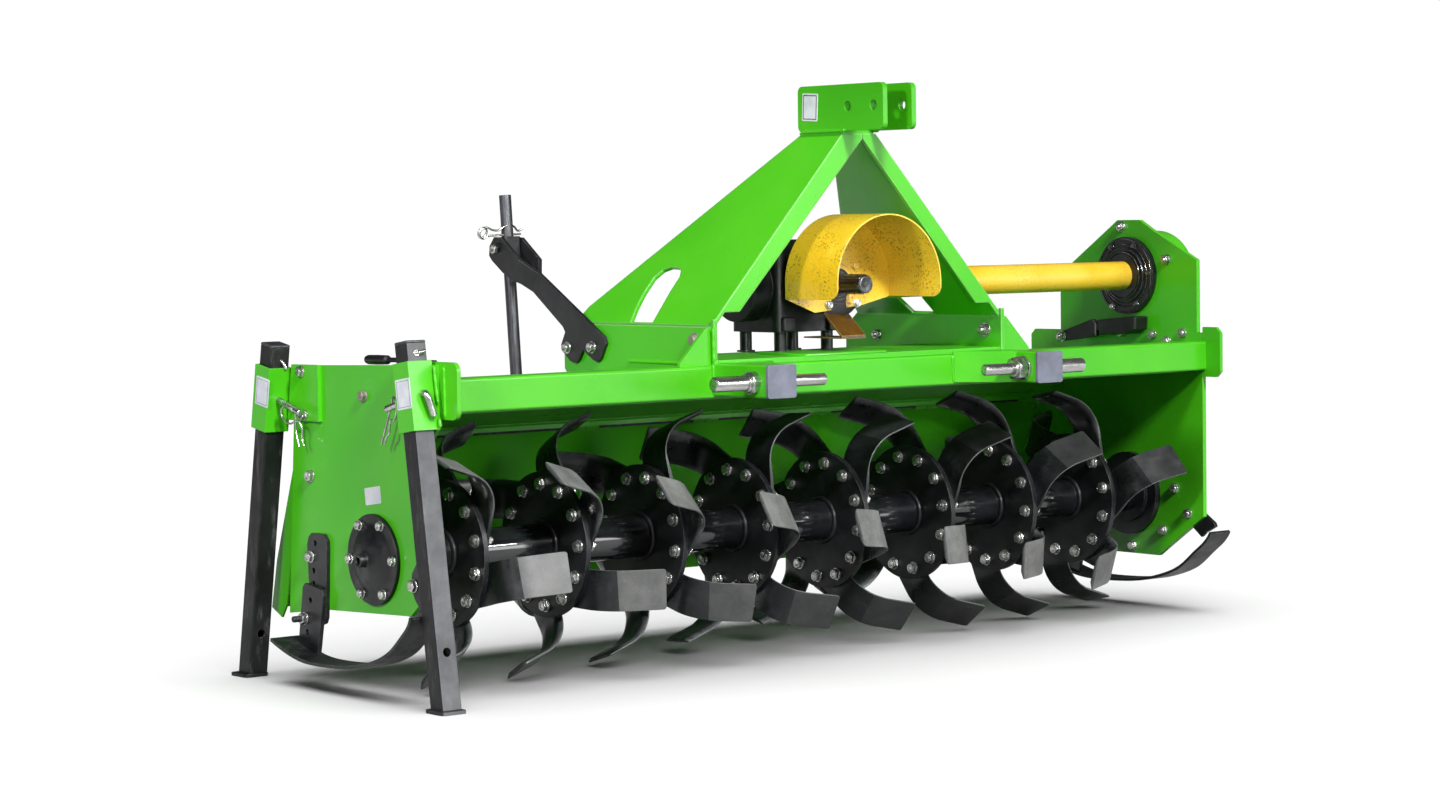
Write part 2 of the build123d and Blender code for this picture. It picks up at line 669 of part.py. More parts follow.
# ---------------------------------------------------------------- parking legs
LEG_X = -960.0
LEGS = (
    ("front", (-184.7, 392.3), (-274.5, -228.0), 358.0, 238.0, -143.0, -1, -8.0),
    ("rear", (269.0, 373.0), (376.0, -234.7), 340.0, 222.0, -160.0, 1, 2.0),
)
stand_pins = []
for name, top, foot, sleeve_top, sleeve_bottom, stow, turned, set_over in LEGS:
    dy, dz = foot[0] - top[0], foot[1] - top[1]
    length = math.hypot(dy, dz)
    d = (dy / length, dz / length)
    n = (-d[1], d[0])
    cy, cz = top[0] + 20 * n[0], top[1] + 20 * n[1]
    # the tube's own frame: z down along the leg, x across the machine
    leg_plane = Plane(origin=(LEG_X, cy, cz), x_dir=(1, 0, 0), z_dir=(0, d[0], d[1]))
    run = (-239 - cz) / d[1]
    with BuildPart() as leg:
        with BuildSketch(leg_plane):
            RectangleRounded(40, 40, 3)
            RectangleRounded(32, 32, 1, mode=Mode.SUBTRACT)
        extrude(amount=run + 12)
        with BuildSketch(Plane.XY.offset(-239)):
            with Locations((LEG_X, cy + d[0] * run)):
                Rectangle(200, 200)
        extrude(amount=-40, mode=Mode.SUBTRACT)
        # the stowing hole near the foot, through the fore-and-aft walls
        s_hole = (stow - cz) / d[1]
        hole_plane = Plane(
            origin=(LEG_X, cy + d[0] * s_hole - 60 * n[0], cz + d[1] * s_hole - 60 * n[1]), x_dir=(1, 0, 0), z_dir=(0, n[0], n[1])
        )
        with BuildSketch(hole_plane):
            Circle(8)
        extrude(amount=120, mode=Mode.SUBTRACT)
    place(leg.part, f"parking_leg_{name}")
    with BuildPart() as leg_foot:
        with BuildSketch(Plane.XY.offset(-245)):
            with Locations((LEG_X - 6, cy + d[0] * run + set_over)):
                RectangleRounded(52, 60, 10)
        extrude(amount=6)
    place(leg_foot.part, f"parking_foot_{name}")
    cap_plane = Plane(origin=(LEG_X, cy, cz), x_dir=(1, 0, 0), z_dir=(0, -d[0], -d[1]))
    with BuildPart() as leg_cap:
        with BuildSketch(cap_plane):
            RectangleRounded(41, 41, 4)
        extrude(amount=5)
        chamfer(leg_cap.edges().filter_by(Axis.X).sort_by(Axis.Z)[-2:], 1.5)
        with BuildSketch(cap_plane):
            RectangleRounded(31, 31, 2)
        extrude(amount=-9)
    place(leg_cap.part, f"leg_cap_{name}")
    s0 = (sleeve_top - cz) / d[1]
    s1 = (sleeve_bottom - cz) / d[1]
    sleeve_plane = Plane(origin=(LEG_X, cy + d[0] * s0, cz + d[1] * s0), x_dir=(1, 0, 0), z_dir=(0, d[0], d[1]))
    with BuildPart() as sleeve:
        with BuildSketch(sleeve_plane):
            Rectangle(50, 50)
            Rectangle(40.16, 40.16, mode=Mode.SUBTRACT)
        extrude(amount=s1 - s0)
    place(sleeve.part, f"leg_sleeve_{name}")
    # the locking pin's two visible ends, outside the sleeve's walls
    sp = s0 + 52
    for sign, stub in ((turned, 25), (-turned, 30)):
        start = Plane(
            origin=(
                LEG_X, cy + d[0] * sp + sign * 25 * n[0], cz + d[1] * sp + sign * 25 * n[1]
            ),
            x_dir=(1, 0, 0),
            z_dir=(0, sign * n[0], sign * n[1]),
        )
        with BuildPart() as pin_end:
            with BuildSketch(start):
                Circle(6.5)
            extrude(amount=stub)
        end = pin_end.part
        if sign == turned:
            turn_y = cy + d[0] * sp + sign * (25 + stub - 6.5) * n[0]
            turn_z = cz + d[1] * sp + sign * (25 + stub - 6.5) * n[1]
            grip = Plane(origin=(LEG_X, turn_y, turn_z + 4), x_dir=(1, 0, 0), z_dir=(0.55, 0, -0.835))
            with BuildPart() as handle:
                with BuildSketch(grip):
                    Circle(6.5)
                extrude(amount=46)
            end = end + handle.part
        stand_pins.append(end)
place(Compound(children=stand_pins), "stand_pins")

with BuildPart() as leg_mount_plate:
    with BuildSketch(Plane.YZ.offset(NEAR_X - 8)):
        with BuildLine():
            Polyline((171, 240), (171, 344), (262, 343), (279, 240), close=True)
        make_face()
    extrude(amount=8)
place(leg_mount_plate.part, "leg_mount_plate_rear")
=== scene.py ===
import bpy
import math
import random
from mathutils import Matrix, Vector


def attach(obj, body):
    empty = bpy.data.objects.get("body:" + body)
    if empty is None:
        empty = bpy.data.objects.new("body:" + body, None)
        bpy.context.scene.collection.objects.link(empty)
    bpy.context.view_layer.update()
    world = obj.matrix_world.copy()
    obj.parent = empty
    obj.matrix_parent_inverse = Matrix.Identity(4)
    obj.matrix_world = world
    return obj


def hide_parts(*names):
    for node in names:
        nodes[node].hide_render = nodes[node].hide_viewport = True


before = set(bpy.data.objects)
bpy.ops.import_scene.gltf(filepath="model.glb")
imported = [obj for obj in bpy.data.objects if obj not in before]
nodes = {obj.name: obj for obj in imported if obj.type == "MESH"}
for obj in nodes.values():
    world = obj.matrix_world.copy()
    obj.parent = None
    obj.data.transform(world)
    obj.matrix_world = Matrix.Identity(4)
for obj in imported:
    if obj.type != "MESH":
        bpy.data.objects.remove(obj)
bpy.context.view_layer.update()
scene = bpy.context.scene
rnd = random.Random(7)

# Positions below are in millimetres from the middle of the rotor's axis, as in the CAD source: +X drive side,
# -Y tractor, +Z up. AT moves them into the row frame.
AT = Vector((-40.0, -38.0, 245.0))


def row(p):
    return (Vector(p) + AT) / 1000.0


# ================================================================ materials
def linear(r, g, b):
    return tuple((c / 12.92 if c <= 0.04045 else ((c + 0.055) / 1.055) ** 2.4) for c in (r / 255, g / 255, b / 255)) + (1.0,)


class Mat:
    """A small helper for building node materials on one Principled shader."""

    def __init__(self, name):
        self.m = bpy.data.materials.new(name)
        self.m.use_nodes = True
        self.t = self.m.node_tree
        self.t.nodes.clear()
        self.out = self.t.nodes.new("ShaderNodeOutputMaterial")
        self.b = self.t.nodes.new("ShaderNodeBsdfPrincipled")
        self.link(self.b.outputs[0], self.out.inputs[0])
        self.co = self.n("ShaderNodeTexCoord").outputs["Object"]

    def n(self, kind, **props):
        node = self.t.nodes.new(kind)
        for k, v in props.items():
            setattr(node, k, v)
        return node

    def link(self, a, b):
        self.t.links.new(a, b)

    def set(self, **values):
        for k, v in values.items():
            self.b.inputs[k.replace("_", " ")].default_value = v

    def scaled(self, sx, sy, sz):
        mp = self.n("ShaderNodeMapping")
        mp.inputs["Scale"].default_value = (sx, sy, sz)
        self.link(self.co, mp.inputs[0])
        return mp.outputs[0]

    def noise(self, scale, detail=3.0, rough=0.55, vector=None, distort=0.0):
        nz = self.n("ShaderNodeTexNoise")
        nz.inputs["Scale"].default_value = scale
        nz.inputs["Detail"].default_value = detail
        nz.inputs["Roughness"].default_value = rough
        nz.inputs["Distortion"].default_value = distort
        self.link(vector or self.co, nz.inputs["Vector"])
        return nz.outputs["Fac"]

    def voronoi(self, scale, feature="F1", vector=None):
        v = self.n("ShaderNodeTexVoronoi", feature=feature)
        v.inputs["Scale"].default_value = scale
        self.link(vector or self.co, v.inputs["Vector"])
        return v.outputs["Distance"]

    def ramp(self, src, lo, hi, a=0.0, b=1.0):
        """Smooth map of src from lo..hi to a..b."""
        mr = self.n("ShaderNodeMapRange", interpolation_type="SMOOTHSTEP")
        mr.inputs["From Min"].default_value = lo
        mr.inputs["From Max"].default_value = hi
        mr.inputs["To Min"].default_value = a
        mr.inputs["To Max"].default_value = b
        self.link(src, mr.inputs["Value"])
        return mr.outputs["Result"]

    def math(self, op, a, b=None):
        mt = self.n("ShaderNodeMath", operation=op)
        for i, v in enumerate((a, b)):
            if v is None:
                continue
            if isinstance(v, (int, float)):
                mt.inputs[i].default_value = v
            else:
                self.link(v, mt.inputs[i])
        return mt.outputs[0]

    def mix(self, fac, a, b):
        mx = self.n("ShaderNodeMix", data_type="RGBA")
        if isinstance(fac, (int, float)):
            mx.inputs["Factor"].default_value = fac
        else:
            self.link(fac, mx.inputs["Factor"])
        for slot, v in ((6, a), (7, b)):
            if isinstance(v, tuple):
                mx.inputs[slot].default_value = v
            else:
                self.link(v, mx.inputs[slot])
        return mx.outputs[2]

    def edges(self, radius=0.0025, samples=4):
        """1 near a sharp edge, 0 on a flat face."""
        bv = self.n("ShaderNodeBevel", samples=samples)
        bv.inputs["Radius"].default_value = radius
        geo = self.n("ShaderNodeNewGeometry")
        dot = self.n("ShaderNodeVectorMath", operation="DOT_PRODUCT")
        self.link(bv.outputs[0], dot.inputs[0])
        self.link(geo.outputs["Normal"], dot.inputs[1])
        return self.ramp(dot.outputs["Value"], 0.985, 0.90)

    def up(self, lo, hi):
        """1 on faces that look upwards."""
        geo = self.n("ShaderNodeNewGeometry")
        s = self.n("ShaderNodeSeparateXYZ")
        self.link(geo.outputs["Normal"], s.inputs[0])
        return self.ramp(s.outputs["Z"], lo, hi)

    def height(self, axis="Z"):
        s = self.n("ShaderNodeSeparateXYZ")
        self.link(self.co, s.inputs[0])
        return s.outputs[axis]

    def bump(self, heights, bevel=None):
        """heights: list of (socket, distance in metres, strength)."""
        normal = None
        if bevel:
            bv = self.n("ShaderNodeBevel", samples=4)
            bv.inputs["Radius"].default_value = bevel
            normal = bv.outputs[0]
        for src, dist, strength in heights:
            bp = self.n("ShaderNodeBump")
            bp.inputs["Distance"].default_value = dist
            bp.inputs["Strength"].default_value = strength
            self.link(src, bp.inputs["Height"])
            if normal is not None:
                self.link(normal, bp.inputs["Normal"])
            normal = bp.outputs[0]
        self.link(normal, self.b.inputs["Normal"])

    def color(self, c):
        self.link(c, self.b.inputs["Base Color"])

    def rough(self, r):
        self.link(r, self.b.inputs["Roughness"])


def green_paint(name="green_paint_gloss", fold=0.0016, shine=0.30):
    m = Mat(name)
    base, pale, deep = linear(82, 196, 27), linear(95, 206, 40), linear(68, 185, 19)
    c = m.mix(m.ramp(m.noise(2.3, 2.0), 0.35, 0.68), deep, base)
    c = m.mix(m.math("MULTIPLY", m.ramp(m.noise(9.0, 4.0), 0.52, 0.78), 0.35), c, pale)
    # painted highlight along the edges (wide and pale where the bevel is wide, as on the mast's folds), and a film of
    # dust on what faces up
    c = m.mix(m.math("MULTIPLY", m.edges(fold * 0.9), shine), c, linear(120, 226, 84) if fold < 0.003 else linear(186, 244, 168))
    specks = m.ramp(m.voronoi(260.0), 0.10, 0.03)
    specks = m.math("MULTIPLY", specks, m.ramp(m.noise(14.0, 2.0), 0.58, 0.66))
    c = m.mix(m.math("MULTIPLY", specks, 0.5), c, linear(44, 96, 30))
    scuff = m.math("MULTIPLY", m.ramp(m.noise(75.0, 5.0, 0.7, m.scaled(0.4, 0.4, 2.2)), 0.60, 0.74), m.ramp(m.noise(5.0, 2.0), 0.50, 0.68))
    c = m.mix(m.math("MULTIPLY", scuff, 0.22), c, linear(60, 128, 40))
    dust = m.math("MULTIPLY", m.up(0.55, 0.98), m.ramp(m.noise(30.0, 5.0, 0.7), 0.35, 0.75, 0.04, 0.26))
    c = m.mix(dust, c, linear(140, 184, 104))
    m.color(c)
    m.rough(m.math("ADD", m.ramp(m.noise(6.0, 4.0), 0.3, 0.75, 0.26, 0.40), m.math("MULTIPLY", dust, 0.5)))
    m.set(Coat_Weight=0.16, Coat_Roughness=0.12, Specular_IOR_Level=0.26)
    m.bump([(m.noise(620.0, 2.0), 0.00012, 0.25), (m.noise(38.0, 2.0), 0.0009, 0.16)], bevel=fold)
    return m.m


def black_paint(name="black_paint_semi", dust_amount=0.16, rough=(0.26, 0.46), worn=0.30, base=(15, 16, 19), lift=(31, 33, 37), dirt=(104, 102, 97)):
    m = Mat(name)
    c = m.mix(m.ramp(m.noise(11.0, 4.0), 0.35, 0.72), linear(*base), linear(*lift))
    patch = m.math("MULTIPLY", m.ramp(m.noise(46.0, 6.0, 0.65), 0.45, 0.82), dust_amount)
    c = m.mix(patch, c, linear(*dirt))
    specks = m.math("MULTIPLY", m.ramp(m.voronoi(330.0), 0.13, 0.05), m.ramp(m.noise(21.0, 2.0), 0.50, 0.62))
    c = m.mix(m.math("MULTIPLY", specks, 0.4), c, linear(128, 126, 120))
    chips = m.math("MULTIPLY", m.edges(0.0018), m.ramp(m.noise(95.0, 4.0, 0.7), 0.42, 0.62))
    c = m.mix(m.math("MULTIPLY", chips, worn), c, linear(150, 150, 150))
    m.color(c)
    m.rough(m.math("ADD", m.ramp(m.noise(17.0, 4.0), 0.3, 0.75, rough[0], rough[1]), m.math("MULTIPLY", patch, 1.2)))
    m.set(Specular_IOR_Level=0.32, Coat_Weight=0.10, Coat_Roughness=0.2)
    m.bump([(m.noise(420.0, 3.0), 0.00016, 0.35), (m.noise(60.0, 2.0), 0.0006, 0.2)], bevel=0.0014)
    return m.m


def rotor_paint(name="rotor_black_gloss", rough=(0.07, 0.16), coat=0.45, spec=0.6, low=(17, 18, 20), high=(34, 36, 39)):
    """Thick glossy paint over a rolled tube and flame-cut discs."""
    m = Mat(name)
    c = m.mix(m.ramp(m.noise(15.0, 4.0), 0.35, 0.72), linear(*low), linear(*high))
    patch = m.math("MULTIPLY", m.ramp(m.noise(60.0, 6.0, 0.7), 0.55, 0.82), 0.16)
    c = m.mix(patch, c, linear(92, 92, 88))
    specks = m.math("MULTIPLY", m.ramp(m.voronoi(300.0), 0.12, 0.05), m.ramp(m.noise(26.0, 2.0), 0.50, 0.62))
    c = m.mix(m.math("MULTIPLY", specks, 0.35), c, linear(132, 132, 128))
    chips = m.math("MULTIPLY", m.edges(0.0020), m.ramp(m.noise(80.0, 4.0, 0.7), 0.40, 0.60))
    c = m.mix(m.math("MULTIPLY", chips, 0.5), c, linear(128, 130, 132))
    m.color(c)
    m.rough(m.math("ADD", m.ramp(m.noise(22.0, 4.0), 0.3, 0.75, *rough), m.math("MULTIPLY", patch, 1.2)))
    m.set(Specular_IOR_Level=spec, Coat_Weight=coat, Coat_Roughness=0.07)
    m.bump([(m.noise(300.0, 3.0), 0.00014, 0.30), (m.noise(34.0, 3.0), 0.0009, 0.22)], bevel=0.0016)
    return m.m


def leg_paint(name, side_a, side_b, front_a, front_b, low=0.55, high=0.85):
    """A square tube on black paint, its forward face painted lighter and its sides darker as painted light and shade,
    with rubbed streaks of dust.
    """
    m = Mat(name)
    geo = m.n("ShaderNodeNewGeometry")
    turn = m.n("ShaderNodeVectorTransform", vector_type="NORMAL", convert_from="WORLD", convert_to="OBJECT")
    m.link(geo.outputs["Normal"], turn.inputs[0])
    sp = m.n("ShaderNodeSeparateXYZ")
    m.link(turn.outputs[0], sp.inputs[0])
    # painted light and shade: the face that looks forward (-Y in the part's own frame) takes the lighter pair of
    # colours, the sides the darker pair
    front = m.ramp(m.math("MULTIPLY", sp.outputs["Y"], -1.0), low, high)
    stain = m.ramp(m.noise(13.0, 5.0, 0.65), 0.30, 0.72)
    c = m.mix(front, m.mix(stain, linear(*side_a), linear(*side_b)), m.mix(stain, linear(*front_a), linear(*front_b)))
    rub = m.math("MULTIPLY", m.ramp(m.noise(30.0, 6.0, 0.7, m.scaled(2.0, 2.0, 0.35)), 0.52, 0.78), 0.35)
    c = m.mix(rub, c, linear(134, 133, 130))
    specks = m.math("MULTIPLY", m.ramp(m.voronoi(330.0), 0.15, 0.05), m.ramp(m.noise(21.0, 2.0), 0.46, 0.60))
    c = m.mix(m.math("MULTIPLY", specks, 0.4), c, linear(40, 40, 42))
    chips = m.math("MULTIPLY", m.edges(0.0016), m.ramp(m.noise(95.0, 4.0, 0.7), 0.40, 0.62))
    c = m.mix(m.math("MULTIPLY", chips, 0.5), c, linear(150, 150, 150))
    m.color(c)
    m.rough(m.math("ADD", m.ramp(m.noise(17.0, 4.0), 0.3, 0.75, 0.34, 0.52), m.math("MULTIPLY", front, 0.12)))
    m.set(Specular_IOR_Level=0.22)
    m.bump([(m.noise(420.0, 3.0), 0.00018, 0.4), (m.noise(60.0, 2.0), 0.0006, 0.2)], bevel=0.0014)
    return m.m


def cast_black(name="cast_black"):
    m = Mat(name)
    c = m.mix(m.ramp(m.noise(16.0, 5.0), 0.35, 0.7), linear(11, 12, 14), linear(24, 25, 28))
    dust = m.math("MULTIPLY", m.up(0.3, 0.95), m.ramp(m.noise(70.0, 5.0, 0.7), 0.4, 0.8, 0.0, 0.18))
    c = m.mix(dust, c, linear(98, 95, 88))
    # painted highlight along the edges
    c = m.mix(m.math("MULTIPLY", m.edges(0.0030), 0.25), c, linear(92, 94, 98))
    m.color(c)
    m.rough(m.ramp(m.noise(40.0, 3.0), 0.3, 0.7, 0.30, 0.50))
    m.set(Specular_IOR_Level=0.38)
    m.bump([(m.noise(260.0, 5.0, 0.7), 0.0006, 0.55), (m.noise(34.0, 3.0), 0.0014, 0.3)], bevel=0.003)
    return m.m


def yellow_paint(name="yellow_paint_gloss", base=(248, 210, 50), pale=(254, 222, 82), deep=(237, 188, 34), speck=0.8):
    m = Mat(name)
    c = m.mix(m.ramp(m.noise(4.0, 3.0), 0.35, 0.7), linear(*deep), linear(*base))
    c = m.mix(m.math("MULTIPLY", m.ramp(m.noise(13.0, 4.0), 0.5, 0.8), 0.4), c, linear(*pale))
    # grit thrown on the paint, thick in clouds and thin between them
    cloud = m.ramp(m.noise(11.0, 5.0, 0.6), 0.42, 0.66)
    grime = m.math("MULTIPLY", m.ramp(m.voronoi(150.0), 0.42, 0.26), cloud)
    c = m.mix(m.math("MULTIPLY", grime, speck), c, linear(84, 60, 14))
    fine = m.math("MULTIPLY", m.ramp(m.voronoi(300.0), 0.42, 0.26), m.ramp(m.noise(20.0, 4.0), 0.36, 0.56))
    c = m.mix(m.math("MULTIPLY", fine, speck * 0.6), c, linear(150, 112, 30))
    # painted highlight along the edges
    c = m.mix(m.math("MULTIPLY", m.edges(0.0018), 0.4), c, linear(255, 226, 120))
    m.color(c)
    m.rough(m.math("ADD", m.ramp(m.noise(8.0, 4.0), 0.3, 0.75, 0.26, 0.42), m.math("MULTIPLY", grime, 0.3)))
    m.set(Coat_Weight=0.25, Coat_Roughness=0.15)
    m.bump([(m.noise(520.0, 2.0), 0.00014, 0.3), (m.noise(26.0, 2.0), 0.0010, 0.22)], bevel=0.0012)
    return m.m


def blade_steel(name="blade_black_worn_and_sheen"):
    """Dark satin scale on the strip and the bend, worn dusty steel where the wing has rubbed, the mesh says where; on
    the blades bent left that steel is graded blade by blade as painted sheen, and a pale line on the bevelled edges is
    a painted highlight.
    """
    m = Mat(name)
    # red: the worn wing, graded on the blades bent left as painted sheen; green: where the painted edge highlight goes
    at = m.n("ShaderNodeAttribute", attribute_type="GEOMETRY", attribute_name="worn")
    s = m.n("ShaderNodeSeparateColor")
    m.link(at.outputs["Color"], s.inputs[0])
    wing, edge = s.outputs["Red"], s.outputs["Green"]
    c = m.mix(m.ramp(m.noise(13.0, 4.0), 0.32, 0.72), linear(11, 13, 14), linear(26, 29, 31))
    smear = m.math("MULTIPLY", m.ramp(m.noise(32.0, 6.0, 0.7), 0.45, 0.8), 0.30)
    c = m.mix(smear, c, linear(66, 69, 70))
    worn = m.mix(m.ramp(m.noise(17.0, 6.0, 0.65), 0.28, 0.75), linear(100, 101, 100), linear(140, 141, 138))
    worn = m.mix(m.math("MULTIPLY", m.ramp(m.voronoi(230.0), 0.20, 0.06), 0.45), worn, linear(52, 52, 51))
    worn = m.mix(m.math("MULTIPLY", m.ramp(m.noise(130.0, 5.0, 0.75), 0.54, 0.72), 0.45), worn, linear(158, 159, 157))
    c = m.mix(wing, c, worn)
    # painted highlight: a pale line along the bevelled edges
    line = m.math("MULTIPLY", edge, m.ramp(m.noise(70.0, 4.0, 0.6), 0.25, 0.55, 0.35, 1.0))
    c = m.mix(m.math("MULTIPLY", line, 0.75), c, linear(112, 115, 116))
    specks = m.math("MULTIPLY", m.ramp(m.voronoi(300.0), 0.12, 0.04), m.ramp(m.noise(20.0, 2.0), 0.46, 0.6))
    c = m.mix(m.math("MULTIPLY", specks, 0.45), c, linear(140, 141, 138))
    m.color(c)
    r = m.math("ADD", m.ramp(m.noise(19.0, 4.0), 0.3, 0.75, 0.24, 0.40), m.math("MULTIPLY", wing, 0.30))
    m.rough(m.math("ADD", r, m.math("MULTIPLY", smear, 0.4)))
    m.set(Specular_IOR_Level=0.42)
    m.bump([(m.noise(380.0, 3.0), 0.0002, 0.4), (m.noise(48.0, 3.0), 0.0009, 0.25)], bevel=0.0009)
    return m.m


def worn_steel(name, dark, light, metal=0.6, rough=(0.3, 0.5), rust=0.0, grain=(1, 1, 1), edge=0.4):
    m = Mat(name)
    c = m.mix(m.ramp(m.noise(20.0, 5.0, 0.65, m.scaled(*grain)), 0.3, 0.72), linear(*dark), linear(*light))
    if rust:
        r = m.math("MULTIPLY", m.ramp(m.noise(38.0, 6.0, 0.7), 0.48, 0.72), rust)
        c = m.mix(r, c, linear(122, 92, 66))
    # painted highlight along the edges
    c = m.mix(m.math("MULTIPLY", m.edges(0.0015), edge), c, linear(205, 206, 208))
    m.color(c)
    m.rough(m.ramp(m.noise(55.0, 5.0, 0.6, m.scaled(*grain)), 0.3, 0.75, rough[0], rough[1]))
    m.set(Metallic=metal)
    m.bump([(m.noise(500.0, 3.0, 0.6, m.scaled(*grain)), 0.00012, 0.35), (m.noise(70.0, 3.0), 0.0004, 0.2)], bevel=0.001)
    return m.m


def plastic(name, a, b, rough=(0.42, 0.56)):
    m = Mat(name)
    c = m.mix(m.ramp(m.noise(22.0, 4.0), 0.35, 0.7), linear(*a), linear(*b))
    c = m.mix(m.math("MULTIPLY", m.ramp(m.noise(90.0, 5.0, 0.7), 0.5, 0.8), 0.22), c, linear(160, 160, 158))
    # painted highlight along the edges
    c = m.mix(m.math("MULTIPLY", m.edges(0.0018), 0.3), c, linear(176, 180, 192))
    m.color(c)
    m.rough(m.ramp(m.noise(60.0, 3.0), 0.3, 0.7, rough[0], rough[1]))
    m.bump([(m.noise(700.0, 2.0), 0.0001, 0.5)], bevel=0.0016)
    return m.m


def label_film(name="label_film", a=(214, 218, 228), b=(238, 240, 244)):
    m = Mat(name)
    c = m.mix(m.ramp(m.noise(30.0, 3.0), 0.3, 0.7), linear(*a), linear(*b))
    c = m.mix(m.math("MULTIPLY", m.ramp(m.noise(120.0, 5.0, 0.7), 0.58, 0.8), 0.3), c, linear(170, 176, 168))
    m.color(c)
    m.rough(m.ramp(m.noise(45.0, 3.0), 0.3, 0.7, 0.28, 0.42))
    m.bump([(m.noise(160.0, 3.0), 0.0002, 0.3)])
    return m.m


MAT = {
    "green": green_paint(),
    # mast plates: the green paint with a wide, strong painted highlight along their folds
    "green_fold_highlight": green_paint("green_paint_fold_highlight", 0.0050, 0.60),
    "black": black_paint(),
    "rotor_black": rotor_paint(),
    # front leg: lighter forward face and darker sides as painted light and shade
    "front_leg_black": leg_paint("leg_front_painted_lit_face", (20, 20, 22), (36, 36, 39), (82, 83, 86), (110, 111, 113)),
    "leg_black": leg_paint("leg_black", (9, 10, 11), (21, 22, 23), (12, 13, 14), (26, 27, 28)),
    "skid_black": black_paint("skid_worn_black", 0.30, (0.40, 0.56), 0.5, (16, 17, 19), (34, 35, 37), (84, 84, 82)),
    "fork_black": black_paint("bracket_black", 0.10, (0.34, 0.50), 0.4, (24, 24, 26), (42, 42, 45), (90, 88, 84)),
    "cast": cast_black(),
    "disc_black": rotor_paint("rotor_disc_satin", (0.34, 0.52), 0.0, 0.30, (16, 17, 19), (32, 34, 37)),
    "yellow": yellow_paint(),
    # a darkened copy of the yellow paint: painted shade for the bracket that sits in shadow under the guard
    "yellow_painted_shade": yellow_paint("yellow_painted_shade_under_guard", (92, 60, 16), (120, 80, 22), (70, 44, 12), 0.7),
    "tube_yellow": yellow_paint("yellow_tube_gloss", (248, 206, 62), (254, 222, 96), (238, 188, 38), 0.22),
    "blade": blade_steel(),
    "zinc": worn_steel("zinc_plated", (138, 138, 134), (208, 208, 204), 0.9, (0.18, 0.38)),
    "zinc_dull": worn_steel("zinc_dull", (112, 102, 90), (166, 158, 146), 0.6, (0.4, 0.6), 0.4),
    "pin": worn_steel("pin_plated", (138, 138, 136), (196, 196, 194), 0.92, (0.16, 0.34), 0.0, (0.4, 3, 3)),
    "shaft": worn_steel("shaft_machined", (44, 45, 48), (92, 94, 97), 0.85, (0.22, 0.40), 0.0, (3, 0.5, 3)),
    "rod": worn_steel("rod_dark_steel", (46, 47, 51), (84, 85, 90), 0.6, (0.3, 0.5), 0.12, (4, 4, 0.5), 0.3),
    "grey_cap": plastic("grey_cap_plastic", (92, 96, 112), (116, 121, 138)),
    "black_cap": plastic("black_cap_plastic", (22, 23, 25), (36, 37, 40)),
    "label": label_film(),
    "label_ink": label_film("label_ink", (26, 26, 30), (38, 38, 42)),
}

NODE_MAT = {
    "green": [
        "front_beam", "rear_beam", "side_plate_right", "side_plate_left", "beam_end_plates", "drive_case_plate",
        "rotor_hood", "gearbox_deck", "mast_gussets", "top_link_plates",
        "top_link_base", "hitch_bracket_right", "hitch_bracket_left", "leg_sleeve_front", "leg_sleeve_rear",
        "leg_mount_plate_rear", "tailboard", "drive_case",
    ],
    "green_fold_highlight": ["mast_plate_right", "mast_plate_left"],
    "rotor_black": ["rotor_tube"],
    "disc_black": ["rotor_flanges"],
    "black": ["bearing_cover_right", "bearing_housing_left", "skid_bars", "skid_straps", "tube_flange", "gearbox_feet"],
    "fork_black": ["rod_bracket"],
    "front_leg_black": ["parking_leg_front", "parking_foot_front"],
    "leg_black": ["parking_leg_rear", "parking_foot_rear"],
    "skid_black": ["skid_right", "skid_left"],
    "cast": ["gearbox", "rod_guide"],
    "yellow": ["pto_guard"],
    # the guard bracket takes the yellow with painted shade
    "yellow_painted_shade": ["guard_bracket"],
    "tube_yellow": ["cross_shaft_tube"],
    "blade": ["blades_bent_left", "blades_bent_right"],
    "pin": ["lower_link_pin_right", "lower_link_pin_left"],
    "zinc": ["stand_pins"],
    "shaft": ["pto_shaft"],
    "rod": ["tailboard_rod", "tailboard_lug", "tailboard_hinge_rod"],
    "grey_cap": ["bracket_caps"],
    "black_cap": ["leg_cap_front", "leg_cap_rear"],
}
for key, names in NODE_MAT.items():
    for n in names:
        me = nodes[n].data
        me.materials.clear()
        me.materials.append(MAT[key])


# ================================================================ mesh building
def basis(d):
    d = Vector(d).normalized()
    helper = Vector((0, 0, 1)) if abs(d.z) < 0.9 else Vector((0, 1, 0))
    u = helper.cross(d).normalized()
    return u, d.cross(u), d


